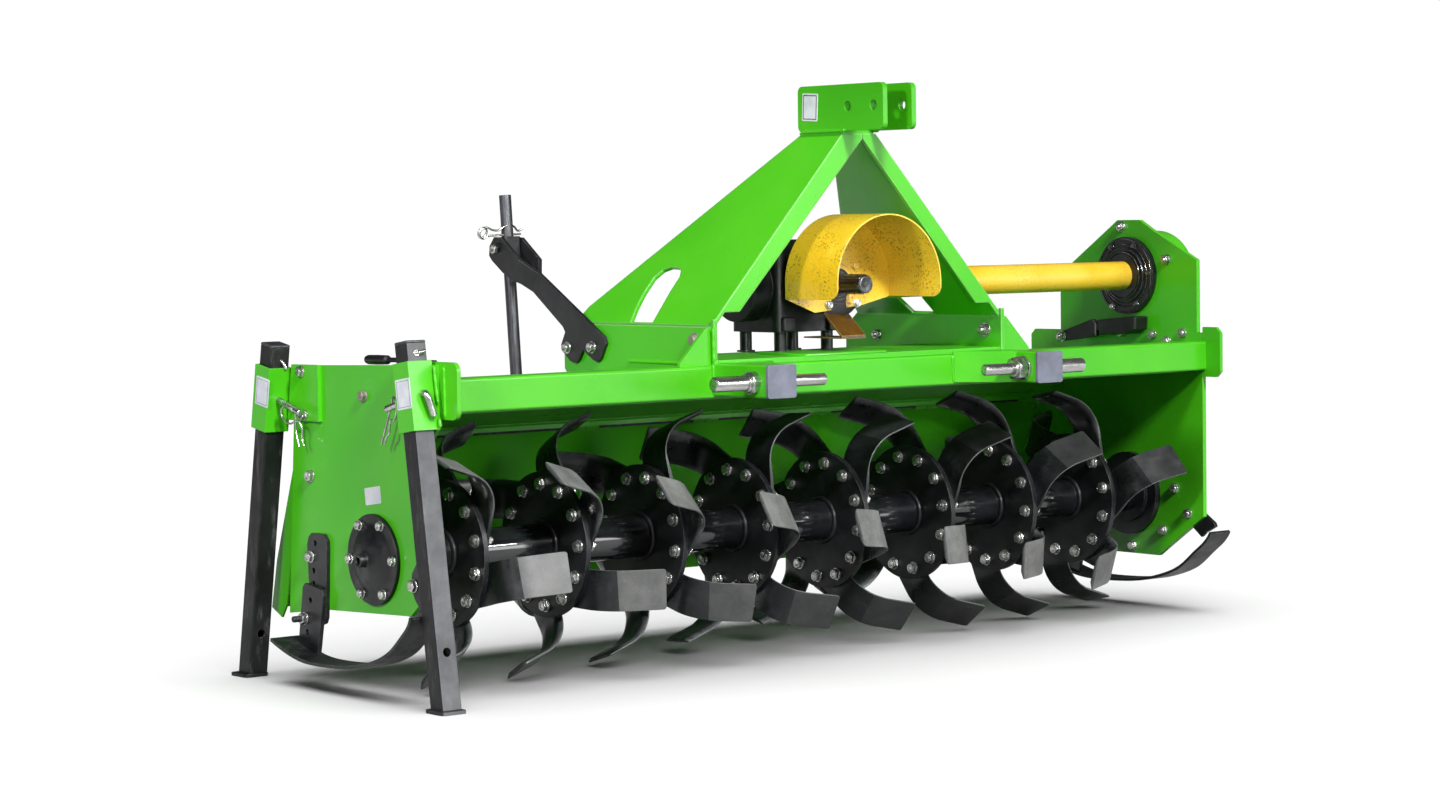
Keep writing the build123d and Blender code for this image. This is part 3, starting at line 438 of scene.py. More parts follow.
class Build:
    """Collects faces in rotor-frame millimetres and turns them into one piece."""

    def __init__(self):
        self.v, self.f = [], []

    def ring(self, pts):
        i = len(self.v)
        self.v.extend(Vector(p) for p in pts)
        return list(range(i, i + len(pts)))

    def bridge(self, a, b, closed=True):
        n = len(a)
        for k in range(n if closed else n - 1):
            j = (k + 1) % n
            self.f.append((a[k], a[j], b[j], b[k]))

    def cap(self, a, flip=False):
        self.f.append(tuple(reversed(a)) if flip else tuple(a))

    def lathe(self, at, axis, profile, segs=24, spin=0.0, ends=(True, True)):
        """profile is a list of (radius, height along axis)."""
        u, w, d = basis(axis)
        at = Vector(at)
        rings = []
        for r, h in profile:
            rings.append(self.ring([
                at + d * h + (u * math.cos(t) + w * math.sin(t)) * r
                for t in (spin + 2 * math.pi * k / segs for k in range(segs))
            ]))
        for a, b in zip(rings, rings[1:]):
            self.bridge(a, b)
        if ends[0]:
            self.cap(rings[0], True)
        if ends[1]:
            self.cap(rings[-1])

    def hexagon(self, at, axis, af, h, spin=0.0, bottom=0.0, both=False):
        """A hexagonal head or nut with its corners turned off."""
        u, w, d = basis(axis)
        at = Vector(at)
        R, c = af / math.sqrt(3), af * 0.085

        def ring12(hc, hm, rc, rm):
            pts = []
            for k in range(12):
                t = spin + k * math.pi / 6
                r, hh = (rc, hc) if k % 2 == 0 else (rm, hm)
                pts.append(at + d * hh + (u * math.cos(t) + w * math.sin(t)) * r)
            return self.ring(pts)

        rings = []
        if both:
            rings.append(ring12(bottom, bottom, af * 0.46, af * 0.46))
            rings.append(ring12(bottom + c, bottom + c * 0.15, R, af / 2))
        else:
            rings.append(ring12(bottom, bottom, R, af / 2))
        rings.append(ring12(h - c, h - c * 0.15, R, af / 2))
        rings.append(ring12(h, h, af * 0.46, af * 0.46))
        for a, b in zip(rings, rings[1:]):
            self.bridge(a, b)
        self.cap(rings[0], True)
        self.cap(rings[-1])
        return h

    def washer(self, at, axis, r, t, segs=20):
        self.lathe(at, axis, [(r * 0.3, 0), (r - 0.5, 0), (r, 0.4), (r, t - 0.4), (r - 0.5, t), (r * 0.3, t)], segs)

    def thread(self, at, axis, r, h0, h1, pitch=1.75, segs=14):
        prof, h = [(r * 0.9, h0)], h0
        while h + pitch < h1 - 0.8:
            prof += [(r, h + pitch * 0.5), (r * 0.9, h + pitch)]
            h += pitch
        prof += [(r * 0.92, h1 - 0.8), (r * 0.72, h1)]
        self.lathe(at, axis, prof, segs)

    def bolt(self, at, axis, af=19.0, washer=12.0, spin=None, head=7.5, nut=False, stub=5.0):
        spin = rnd.uniform(0, math.pi / 3) if spin is None else spin
        t = 0.0
        if washer:
            self.washer(at, axis, washer, 2.2)
            t = 2.0
        if nut:
            h = t + 9.0
            self.hexagon(at, axis, af, h, spin, t, True)
            self.thread(at, axis, af * 0.31, h - 1, h + stub)
        else:
            self.hexagon(at, axis, af, t + head, spin, t)
            # the raised ring and the dished middle of a forged head
            self.lathe(at, axis, [(af * 0.36, t + head - 0.5), (af * 0.36, t + head + 0.35), (af * 0.30, t + head + 0.35), (af * 0.24, t + head - 0.1)], 16)

    def tube(self, pts, r, segs=10, closed=False, caps=True, r_fn=None):
        pts = [Vector(p) for p in pts]
        n = len(pts)
        rings = []
        prev = None
        for i, p in enumerate(pts):
            if closed:
                t = (pts[(i + 1) % n] - pts[i - 1]).normalized()
            else:
                t = (pts[min(i + 1, n - 1)] - pts[max(i - 1, 0)]).normalized()
            if prev is None:
                u, w, _ = basis(t)
            else:
                u = (prev - t * prev.dot(t)).normalized()
                w = t.cross(u)
            prev = u
            rr = r_fn(i) if r_fn else r
            rings.append(self.ring([p + (u * math.cos(a) + w * math.sin(a)) * rr for a in (2 * math.pi * k / segs for k in range(segs))]))
        for a, b in zip(rings, rings[1:]):
            self.bridge(a, b)
        if closed:
            self.bridge(rings[-1], rings[0])
        elif caps:
            self.cap(rings[0], True)
            self.cap(rings[-1])

    def bead(self, a, b, r=3.2, step=3.0, lift=0.0, up=(0, 0, 0)):
        """A weld bead: overlapping ripples along a straight seam."""
        a, b = Vector(a), Vector(b)
        length = (b - a).length
        n = max(6, int(length / step * 3))
        wob = rnd.random() * 6
        pts, rr = [], []
        for i in range(n + 1):
            t = i / n
            s = t * length
            side = Vector(up) * (lift + 0.35 * math.sin(s * 0.31 + wob))
            pts.append(a.lerp(b, t) + side)
            ends = min(1.0, 0.35 + s / 6.0, 0.35 + (length - s) / 6.0)
            rr.append(r * ends * (1 + 0.13 * abs(math.sin(math.pi * s / step)) + 0.07 * math.sin(s * 0.23 + wob)))
        self.tube(pts, r, 8, r_fn=lambda i: rr[i])

    def ring_bead(self, at, axis, radius, r=4.0, step=4.0):
        u, w, d = basis(axis)
        n = int(2 * math.pi * radius / step * 2)
        pts = [Vector(at) + (u * math.cos(t) + w * math.sin(t)) * radius for t in (2 * math.pi * k / n for k in range(n))]
        rr = [r * (1 + (0.12 if i % 2 else 0.0) + 0.06 * math.sin(i * 0.7)) for i in range(n)]
        self.tube(pts, r, 8, closed=True, r_fn=lambda i: rr[i])

    def prism(self, poly, origin, x_dir, y_dir, depth, soft=0.6):
        """A plate from a 2-D outline, its front edges eased by soft; it grows along x_dir x y_dir."""
        x, y = Vector(x_dir).normalized(), Vector(y_dir).normalized()
        z = x.cross(y)
        o = Vector(origin)
        cx = sum(p[0] for p in poly) / len(poly)
        cy = sum(p[1] for p in poly) / len(poly)

        def level(h, inset):
            pts = []
            for px, py in poly:
                dx, dy = px - cx, py - cy
                L = math.hypot(dx, dy) or 1.0
                k = max(0.0, 1 - inset / L)
                pts.append(o + x * (cx + dx * k) + y * (cy + dy * k) + z * h)
            return self.ring(pts)

        rings = [level(0, 0), level(depth - soft, 0), level(depth, soft)]
        for a, b in zip(rings, rings[1:]):
            self.bridge(a, b)
        self.cap(rings[0], True)
        self.cap(rings[-1])

    def piece(self, name, mat, body="frame", slot=None, smooth=32.0):
        me = bpy.data.meshes.new(name)
        me.from_pydata([tuple(row(p)) for p in self.v], [], self.f)
        me.update()
        o = bpy.data.objects.new(name, me)
        scene.collection.objects.link(o)
        import bmesh
        bm = bmesh.new()
        bm.from_mesh(me)
        bmesh.ops.recalc_face_normals(bm, faces=bm.faces)
        bm.to_mesh(me)
        bm.free()
        for p in me.polygons:
            p.use_smooth = True
        me.set_sharp_from_angle(angle=math.radians(smooth))
        me.materials.append(MAT[mat] if isinstance(mat, str) else mat)
        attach(o, body)
        return o


def smooth_path(ctrl, per=6):
    """Catmull-Rom through the control points."""
    pts = [Vector(p) for p in ctrl]
    ext = [pts[0] * 2 - pts[1]] + pts + [pts[-1] * 2 - pts[-2]]
    out = []
    for i in range(1, len(ext) - 2):
        p0, p1, p2, p3 = ext[i - 1], ext[i], ext[i + 1], ext[i + 2]
        for k in range(per):
            t = k / per
            out.append(0.5 * ((2 * p1) + (p2 - p0) * t + (2 * p0 - 5 * p1 + 4 * p2 - p3) * t * t + (3 * p1 - p0 - 3 * p2 + p3) * t ** 3))
    out.append(pts[-1])
    return out


def r_clip(b, at, through, out, length=78.0, wire=2.0):
    """A spring cotter: its straight leg passes through at along `through`, its other leg grips on the side `out`."""
    d, o = Vector(through).normalized(), Vector(out).normalized()
    side = d.cross(o)
    s = length / 78.0

    def P(x, y, z=0.0):
        return Vector(at) + d * (x * s) + o * (y * s) + side * z

    ctrl = [P(-26, 0), P(0, 0), P(26, 0), P(42, -1), P(50, -5, 0.5), P(57, 0, 1), P(57, 8, 1.6), P(50, 13, 2.2), P(43, 8, 2.8), P(45, -1, 3.4),
            P(53, -4, 3.8), P(59, 3, 3.8), P(55, 12, 3.4), P(44, 13.5, 2.6), P(32, 9, 1.4), P(20, 8.5, 0.6), P(11, 14, 0), P(0, 17, 0), P(-11, 13, 0), P(-17, 7, 0), P(-22, 6, 0), P(-28, 9, 0)]
    b.tube(smooth_path(ctrl, 5), wire, 8)


def rounded_rect(w, h, r, n=4):
    pts = []
    for cx, cy, a0 in ((w / 2 - r, h / 2 - r, 0), (-w / 2 + r, h / 2 - r, 90), (-w / 2 + r, -h / 2 + r, 180), (w / 2 - r, -h / 2 + r, 270)):
        for k in range(n + 1):
            a = math.radians(a0 + 90 * k / n)
            pts.append((cx + r * math.cos(a), cy + r * math.sin(a)))
    return pts


NEAR_X, FAR_X = -935.0, 975.0
HITCH_X = 34.0

# ---------------------------------------------------------------- blades
FLANGE_X = [(k - 3.5) * 225.0 for k in range(8)]
LEAN, BEND = math.radians(42.0), math.radians(71.5)
STRIP, BEND_R, WING, BLADE_T, HALF = 41.3, 78.0, 61.3, 8.0, 37.5
HUB = 113.5 * math.cos(math.radians(15))
ARC = BEND_R * BEND


def blade_line(s):
    """The outer face's line: sideways, along, and the unit normal towards the inside, at s from the hub's centre."""
    if s <= STRIP:
        return 0.0, s, 1.0, 0.0
    t = min((s - STRIP) / BEND_R, BEND)
    x, y = BEND_R * (1 - math.cos(t)), STRIP + BEND_R * math.sin(t)
    extra = max(0.0, s - STRIP - ARC)
    return x + extra * math.sin(t), y + extra * math.cos(t), math.cos(t), -math.sin(t)


def blade(b, worn, origin, side, along, wide, jitter, tilt, bare_and_sheen):
    """One blade, bevelled to a thin edge along both its long sides beyond its foot."""
    end = STRIP + ARC + WING
    mark = STRIP + ARC - 29.0 + jitter
    stations = [(-42, 27), (-40.5, 31), (-37, 35), (-30, 37.5), (-14, 37.5), (4, 37.5), (22, 37.5), (33, 37.5), (STRIP, 37.5)]
    stations += [(STRIP + ARC * k / 12, 37.5) for k in range(1, 8)]
    stations += [(mark - 0.5, 37.5, 1), (mark + 0.5, 37.5, 1)]
    stations += [(STRIP + ARC - 9, 37.5), (STRIP + ARC, 37.5), (end - 56, 37.5), (end - 46, 37.5), (end - 34, 37.5), (end - 14, 37.5), (end - 4, 37.3), (end - 1.2, 35.8), (end, 33.5)]
    rings = []
    for st in stations:
        s0, half = st[0], st[1]
        slant = tilt if len(st) > 2 else 0.0
        k = min(1.0, max(0.0, (s0 - 16) / 40.0))
        edge, bevel = 8.0 - 4.8 * k, 1.0 + 11.0 * k
        wing = bare_and_sheen if s0 > mark else 0.0
        section = []
        for w in (-1.0, -0.55, 0.0, 0.55, 1.0):
            section.append((w * (half - 0.5), 0.0, wing, 0.0))
        section.append((half, 0.5, wing * 0.4, k))
        section.append((half, edge - 0.5, 0.0, k))
        section.append((half - 0.6, edge, 0.0, k))
        for w in (1.0, 0.5, -0.5, -1.0):
            section.append((w * (half - bevel), BLADE_T, 0.0, 0.0))
        section.append((-half + 0.6, edge, 0.0, k))
        section.append((-half, edge - 0.5, 0.0, k))
        section.append((-half, 0.5, wing * 0.4, k))
        pts = []
        for w, t, red, green in section:
            x, y, nx, ny = blade_line(s0 + slant * w)
            x, y = x + nx * t, y + ny * t
            pts.append(Vector(origin) + Vector((side * x, along[0] * y + wide[0] * w, along[1] * y + wide[1] * w)))
            worn.append((red, green))
        rings.append(b.ring(pts))
    for p, q in zip(rings, rings[1:]):
        b.bridge(p, q)
    b.cap(rings[0], True)
    b.cap(rings[-1])


for node, side, first in (("blades_bent_left", 1, 0), ("blades_bent_right", -1, 60)):
    b, worn = Build(), []
    for k, xf in enumerate(FLANGE_X):
        for turn in (0, 120, 240):
            a = math.radians(-29.8 - 13.0 * k + first + turn)
            out, back = (-math.cos(a), math.sin(a)), (math.sin(a), math.cos(a))
            along = tuple(math.cos(LEAN) * o + math.sin(LEAN) * q for o, q in zip(out, back))
            wide = (-along[1] * side, along[0] * side)
            face = 5.0 if side > 0 else 13.0
            # blades bent right: worn steel wings; blades bent left: the amount fades over the four flanges nearest the
            # near side as painted sheen, low elsewhere
            bare_and_sheen = rnd.uniform(0.80, 1.0) if side < 0 else (0.40, 0.42, 0.26, 0.15)[k] if turn == 0 and k < 4 else rnd.uniform(0.05, 0.14)
            blade(b, worn, (xf + face, HUB * out[0], HUB * out[1]), side, along, wide, rnd.uniform(-1.5, 1.5), rnd.uniform(0.02, 0.10), bare_and_sheen)
    o = b.piece(node.replace("bent", "forged"), "blade", "rotor", "blade_steel", 28)
    layer = o.data.color_attributes.new("worn", "FLOAT_COLOR", "POINT")
    for i, (red, green) in enumerate(worn):
        layer.data[i].color = (red, green, 0.0, 1.0)
    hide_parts(node)

# ---------------------------------------------------------------- rotor bolts: heads on a flange's -X face, nuts on the strips
nuts, heads, welds = Build(), Build(), Build()
for k, xf in enumerate(FLANGE_X):
    for turn in range(6):
        a0 = -29.8 - 13.0 * k + 60 * turn
        for da in (-15, 15):
            a = math.radians(a0 + da)
            y, z = -113.5 * math.cos(a), 113.5 * math.sin(a)
            heads.bolt((xf - 5.0, y, z), (-1, 0, 0), 19, 12.5, head=8)
            nuts.bolt((xf + 13.0, y, z), (1, 0, 0), 19, 12.5, nut=True, stub=6)
    for side in (-1, 1):
        welds.ring_bead((xf + side * 6.0, 0, 0), (1, 0, 0), 42.0, 5.0, 5.0)
heads.piece("rotor_bolt_heads", "zinc", "rotor", "plated_pins")
nuts.piece("rotor_bolt_nuts", "zinc", "rotor", "plated_pins")
welds.piece("rotor_flange_welds", "disc_black", "rotor", "black_paint", 60)

# ---------------------------------------------------------------- side-plate bolts, near side
near = Build()
near.bolt((NEAR_X - 8, 227, 331), (-1, 0, 0), 17, 11)
near.bolt((NEAR_X - 8, 220, 251), (-1, 0, 0), 17, 11)
near.bolt((NEAR_X, 214, 139), (-1, 0, 0), 19, 12)
near.bolt((NEAR_X - 8, 207, -9), (-1, 0, 0), 18, 11.5)
near.bolt((NEAR_X - 16, 219, -123), (-1, 0, 0), 19, 12, nut=True, stub=5)
near.bolt((NEAR_X - 4, -131, -37), (-1, 0, 0), 19, 12)
for k in range(6):
    a = math.radians(2.2 + 60 * k)
    near.bolt((NEAR_X - 8, -70.6 * math.cos(a), 70.6 * math.sin(a)), (-1, 0, 0), 15, 9.5, head=6.5)
near.piece("near_plate_bolts", "zinc", "frame", "plated_pins")
dull = Build()
dull.bolt((NEAR_X, 27, 292), (-1, 0, 0), 17, 11)
dull.piece("near_plate_dull_bolt", "zinc_dull", "frame", "plated_pins")
stud = Build()
stud.thread((NEAR_X - 16, 219, -123), (-1, 0, 0), 6.0, 10, 27)
stud.piece("skid_bar_stud", "cast", "frame", "black_paint")

b = Build()
b.lathe((NEAR_X, 0, 0), (-1, 0, 0), [
    (20, 0), (81, 0), (82, 0.8), (82, 7), (81, 8), (66, 8), (61.5, 8.6), (57, 10.8), (50, 14.2), (41, 17.6), (31, 20.4), (22, 22.2), (15, 23.0),
    (12.6, 24.2), (12.0, 26), (12.0, 36.6), (11.2, 37.8), (7.6, 37.8), (6.6, 37.0), (6.5, 24), (1.5, 23),
], 56)
o = b.piece("bearing_cover_dome", "cast", "frame", "black_paint", 40)
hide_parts("bearing_cover_right")

# ---------------------------------------------------------------- far plate bolts, seen on its inner face
far = Build()
for y, z in ((196.3, 333.6), (22.2, 342.4), (-69.7, 339.8), (-156.9, 344.3), (-110.4, 326.1)):
    far.bolt((FAR_X, y, z), (-1, 0, 0), 17, 11)
for y, z in ((19.6, 569.3), (-112.2, 498.9)):
    far.bolt((FAR_X, y, z), (-1, 0, 0), 17, 11, nut=True, stub=5)
for y, z in ((-169, -36), (-96, -75), (-131, 16), (-7, -114)):
    far.bolt((FAR_X, y, z), (-1, 0, 0), 17, 11)
far.piece("far_plate_bolts", "zinc", "frame", "plated_pins")

# ---------------------------------------------------------------- blank labels
def label(name, x, y, z, w, h, side, up, line=0.9):
    b = Build()
    b.prism(rounded_rect(w, h, 2.5), (x, y, z), (0,) + side, (0,) + up, 0.5, 0.2)
    b.piece(name, "label", "frame", "grey_caps")
    if line:
        b = Build()
        o = Vector((x - 0.5, y, z))
        sx, sy = Vector((0,) + side), Vector((0,) + up)
        for du, dv, pw, ph in ((0, h / 2 - 4, w - 7, line), (0, -h / 2 + 4, w - 7, line), (w / 2 - 4, 0, line, h - 7), (-w / 2 + 4, 0, line, h - 7)):
            b.prism(rounded_rect(pw, ph, 0.3, 2), o + sx * du + sy * dv, sx, sy, 0.25, 0.05)
        b.piece(name + "_border", "label_ink", "frame", "black_caps")


REAR_UP, FRONT_UP = (-0.1734, 0.9849), (0.1433, 0.9897)
label("rear_sleeve_label", -985, 297, 293, 46, 53, (-0.9849, -0.1734), REAR_UP, 0.5)
label("front_sleeve_label", -985, -180, 304, 46, 53, (-0.9897, 0.1433), FRONT_UP, 0.5)
label("clevis_label", -9.5, -121.5, 809.5, 46, 53, (-0.998, -0.055), (-0.055, 0.998), 1.6)
label("near_plate_label", NEAR_X, 4.5, 114, 52, 31, (-0.991, 0.134), (0.134, 0.991), 0)

# ---------------------------------------------------------------- locking pins with their spring clips
pins = Build()
pins.tube(smooth_path([(-960, 205, 256.4), (-960, 240, 265.7), (-960, 282, 276.8), (-960, 326, 288.2), (-960, 336, 289.6), (-959, 342, 283), (-956, 344, 268), (-952, 345, 246)], 6), 6.5, 14)
pins.tube(smooth_path([(-960, -87.3, 273.8), (-960, -117, 281.9), (-960, -180, 299.2), (-961, -204, 305.4), (-960.5, -212, 305), (-958.5, -216, 298), (-955, -217, 287), (-948.5, -218, 267.5)], 6), 6.5, 14)
for at, axis in (((-960, 205.2, 256.4), (0, -0.967, -0.254)), ((-960, -87.5, 273.8), (0, 0.965, -0.262)), ((-948.6, -218, 267.6), (0.31, -0.03, -0.95))):
    pins.lathe(at, axis, [(6.5, -0.4), (6.4, 0.4), (5.2, 1.7), (2.0, 1.9)], 14)
o = pins.piece("locking_pins", "pin", "frame", "plated_pins", 40)
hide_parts("stand_pins")
clips = Build()
clips.tube(smooth_path([(-957, 199.4, 195.1), (-957, 206.3, 210.5), (-958, 203.1, 226.3), (-961, 212.5, 241.6), (-966, 232.8, 235.6), (-968, 252.6, 244.0), (-969, 258.2, 255.7), (-969.5, 251, 266), (-969, 240, 268.4), (-966, 228, 265), (-962, 221, 256), (-960, 222.4, 243.8), (-960, 221.5, 220.3), (-960, 212.0, 194.5)], 7), 2.0, 8)
clips.tube(smooth_path([(-960, -66.4, 210.7), (-960, -81.4, 240.4), (-960, -94.0, 267.3), (-960, -101.4, 279.5), (-962, -108, 291), (-966, -118, 296), (-968, -128, 290), (-968, -130, 276), (-966, -123.6, 262), (-964, -114, 254.8), (-963, -102.7, 253.8), (-962, -97.0, 241.0), (-962, -95.0, 230.8), (-961, -84.0, 222.5), (-961, -79.4, 211.3)], 7), 2.0, 8)
clips.piece("locking_pin_clips", "pin", "frame", "plated_pins", 60)

for body, name, pts, ring in (
    ("rear_leg", "rear_leg_top_pin", [(-958, 284, 352), (-957.5, 275.5, 351), (-954.5, 270, 344), (-951, 268, 335)], (-958, 276.3, 351.5)),
    ("front_leg", "front_leg_top_pin", [(-966, -180, 374.5), (-961, -190.5, 375.5), (-955, -193.5, 377), (-948, -193, 378.5)], (-962, -187.6, 375)),
):
    b = Build()
    b.tube(smooth_path(pts, 6), 3.2, 10)
    b.lathe(pts[-1], Vector(pts[-1]) - Vector(pts[-2]), [(3.2, 0), (3.0, 0.8), (1.2, 1.4)], 10)
    b.lathe(ring, (0, -0.985, -0.15 if body == "rear_leg" else 0.14), [(4.6, -0.5), (6.2, -0.5), (6.2, 0.7), (5.6, 1.1), (4.6, 0.9)], 16)
    b.piece(name, "pin", body, "plated_pins", 45)

# ---------------------------------------------------------------- black levers behind the plates
lev = Build()
lev.tube([(-914, 48.5, 356), (-914, 46.5, 356), (-914, 40, 356), (-914, 10, 356.4), (-914, -20, 356.9), (-914, -23, 356.9)], 8.5, 14, r_fn=lambda i: (3.5, 7.2, 8.8, 9.0, 8.4, 5.0)[i])
lev.tube([(-914, -20, 357), (-914, -60, 357.6), (-914, -120, 356), (-914, -168, 352)], 4.6, 10)
lev.prism([(-14, -20), (14, -20), (14, 8), (8, 15), (-8, 15), (-14, 8)], (-919, -165, 345), (0, 1, 0), (0, 0, 1), 9, 1.0)
lev.piece("near_lever", "cast", "frame", "black_paint", 40)
lev = Build()
arm = [(60, 362), (70, 372), (160, 345), (168, 338), (166, 328), (157, 323), (72, 333), (60, 336)]
lev.prism([(-p[0], p[1]) for p in reversed(arm)], (944, 0, 0), (0, -1, 0), (0, 0, 1), 12, 2.0)
block = [(62, 352), (60, 369), (52, 371), (-48, 379), (-55, 377), (-54, 352), (-30, 341), (50, 338)]
lev.prism([(-p[0], p[1]) for p in reversed(block)], (973, 0, 0), (0, -1, 0), (0, 0, 1), 37, 3.0)
lev.piece("far_lever", "cast", "frame", "black_paint", 35)
arm_bolt = Build()
arm_bolt.bolt((932, 161, 334), (-1, 0, 0), 17, 12, nut=True, stub=4)
arm_bolt.piece("far_lever_nut", "zinc", "frame", "plated_pins")

# ---------------------------------------------------------------- mast, fork and guard fasteners
mast = Build()
mast.bolt((392, -176, 371), (-1, 0, 0), 20, 15, nut=True, stub=7)
mast.bolt((392, 147.7, 355.9), (-1, 0, 0), 17, 11, nut=True, stub=5)
mast.bolt((392, 218.8, 356.3), (-1, 0, 0), 17, 11, nut=True, stub=5)
mast.bolt((400, -176, 371), (1, 0, 0), 20, 15)
for y, z in ((228.4, 352.8), (146.6, 355.3)):
    mast.bolt((-340, y, z), (-1, 0, 0), 18, 12)
mast.bolt((-368, 430, 545.5), (-1, 0, 0), 17, 0, head=7)
mast.piece("mast_bolts", "zinc", "frame", "plated_pins")
b = Build()
b.bolt((-332, -165, 375), (-1, 0, 0), 19, 14)
b.piece("mast_dull_bolt", "zinc_dull", "frame", "plated_pins")
b = Build()
for x, z in ((7.5, 430.2), (79.4, 432.1)):
    b.bolt((x, -148, z), (0, -1, 0), 13, 8.5, head=5.5)
b.piece("guard_bolts", "zinc", "frame", "plated_pins")
b = Build()
b.bolt((74.2, -148, 504), (0, -1, 0), 13, 8.5, head=5.5)
b.piece("guard_painted_bolt", "yellow", "frame", "yellow_paint")

# ---------------------------------------------------------------- the depth rod's spring clip
b = Build()
r_clip(b, (-336, 430, 573.5), (-1, 0, -0.03), (0, -0.25, 0.97), 92, 2.2)
b.piece("depth_rod_clip", "pin", "tailboard_rod", "plated_pins", 60)

# ---------------------------------------------------------------- power input: seal, splines, centre hole
b = Build()
b.lathe((34, -145, 470), (0, -1, 0), [(63, -3), (63, 1.6), (61.6, 2.5), (46, 2.5), (45, 1.2), (39, 1.2), (38, 2.6), (31, 2.6), (30, 1.0), (25, 1.0), (24, 2.6), (18.5, 2.6), (17.8, 1.2)], 56, ends=(False, False))
for x, z in ((-42, 393.5), (73, 392.5)):
    b.prism(rounded_rect(29, 27, 4), (x, -82, z), (1, 0, 0), (0, 0, 1), 10, 2.0)
b.piece("input_seal_cap", "cast", "frame", "black_paint", 35)
b = Build()
for r, h in ((63.2, 2.0), (38.6, 2.4), (30.4, 2.4), (24.4, 2.4)):
    n = 64
    b.tube([Vector((34 + r * math.cos(2 * math.pi * k / n), -145 - h, 470 + r * math.sin(2 * math.pi * k / n))) for k in range(n)], 0.75, 6, closed=True)
b.piece("input_seal_rims", "shaft", "frame", "shaft_steel", 60)
b = Build()
for k in range(6):
    a = math.radians(60 * k + 14)
    c, sn = math.cos(a), math.sin(a)
    o = Vector((34 + 17.0 * c, -174, 470 + 17.0 * sn))
    b.prism(rounded_rect(8.2, 52, 2.5), o + Vector((0, -26, 0)), (-sn, 0, c), (0, -1, 0), 1.9, 0.7)
b.lathe((34, -229.6, 470), (0, -1, 0), [(15.4, 0), (15.4, 0.4), (14.8, 0.9), (6.2, 0.9), (4.6, 0.2), (4.2, -0.2)], 32, ends=(False, False))
b.piece("input_shaft_end", "shaft", "pto", "shaft_steel", 35)
b = Build()
b.lathe((34, -229.7, 470), (0, -1, 0), [(4.6, 0.0), (3.6, 0.25), (1.0, 0.3)], 18)
b.piece("input_shaft_centre", "cast", "pto", "black_paint", 35)

# ---------------------------------------------------------------- drive tube's flange
b = Build()
for r, x in ((50, 954.4), (57.5, 957.6), (66, 961.4), (78, 961.4)):
    n = 72
    b.tube([Vector((x, r * math.cos(2 * math.pi * k / n), 465 + r * math.sin(2 * math.pi * k / n))) for k in range(n)], 1.5, 6, closed=True)
for y, z in ((37, 526), (-29, 528), (-36, 404), (-71, 470), (71, 462)):
    b.bolt((962, y, z), (-1, 0, 0), 10, 6.5, head=4.5)
b.piece("tube_flange_rings", "rotor_black", "frame", "black_paint", 50)
b = Build()
b.bolt((962, 36, 399), (-1, 0, 0), 10, 6.5, head=4.5)
b.piece("tube_flange_bolt", "zinc", "frame", "plated_pins")
# ---------------------------------------------------------------- hitch pins' nuts and collars
b = Build()
b.washer((336.8, -340, 301), (-1, 0, 0), 24, 4, 28)
b.hexagon((336.8, -340, 301), (-1, 0, 0), 41, 26, 0.25, 4, True)
b.washer((310.8, -340, 301), (-1, 0, 0), 17, 5, 24)
b.lathe((-347, -340, 301), (-1, 0, 0), [(14, -8), (20.5, -8), (20.5, -1.0), (19.5, 0), (19.0, 0.6), (17.4, 1.2), (17.4, 7.5), (16.4, 8.5), (14, 8.5)], 28, ends=(False, False))
b.washer((-268.8, -340, 301), (1, 0, 0), 22, 4, 24)
b.hexagon((-268.8, -340, 301), (1, 0, 0), 36, 18, 0.1, 4, True)
b.piece("hitch_pin_nuts", "pin", "frame", "plated_pins", 35)

# ---------------------------------------------------------------- deck plate, hood lip and hinge
b = Build()
b.prism(rounded_rect(206, 150, 5), (-9, -146, 338), (1, 0, 0), (0, 1, 0), 4.0, 1.0)
b.piece("deck_plate", "green", "frame", "green_paint")
b = Build()
lip = [(246.5, 209.8), (250.6, 208.6), (251.6, 205), (251.6, 195.5), (248.8, 195.5), (248.6, 204), (246.0, 207.6)]
rings = [b.ring([(x, y, z) for y, z in lip]) for x in (-926.5, 974.5)]
b.bridge(rings[0], rings[1])
b.cap(rings[0], True)
b.cap(rings[1])
b.piece("hood_rear_lip", "green", "frame", "green_paint", 30)
fixed, swinging = Build(), Build()
for k in range(7):
    x = -880 + k * 300
    for b, x0 in ((fixed, x - 32), (swinging, x)):
        b.lathe((x0 + 0.6, 262, 196), (1, 0, 0), [(6.2, 0), (8.4, 0), (9.2, 0.8), (9.2, 30), (8.4, 30.8), (6.2, 30.8)], 20, ends=(False, False))
    fixed.prism([(-15, -10), (15, -10), (15, 10), (-15, 10)], (x - 16.2, 256, 213), (-1, 0, 0), (0, 0.92, 0.39), 3.0, 0.6)
fixed.piece("hinge_knuckles_fixed", "green", "frame", "green_paint", 35)
swinging.piece("hinge_knuckles_tailboard", "green", "tailboard", "green_paint", 35)

# ---------------------------------------------------------------- weld beads
w = Build()
w.bead((-935.6, -203.0, 352), (-935.6, -213.5, 286), 2.8, 4.0, 1.0, (0, 1, 0))
w.bead((-934.2, -214.5, 262), (-934.2, -217.5, 244), 3.0, 4.0, 1.0, (0, 1, 0))
w.bead((-927.4, -221.5, 350), (-927.4, -223, 262), 2.6, 4.5, 1.0, (0, 1, 0))
w.bead((-332.6, -221.5, 398), (-332.6, -222.5, 334), 2.6, 4.0, 0.8, (0, 1, 0))
w.bead((-333.0, -205, 331), (-333.0, 40, 331), 3.2, 4.0)
w.bead((400.8, -205, 331), (400.8, 40, 331), 3.2, 4.0)
w.bead((259.5, -222.8, 326), (261.5, -222.8, 274), 2.2, 4.0, 0.8, (1, 0, 0))
w.bead((-266, -222.8, 331), (-226, -222.8, 331), 2.6, 4.0)
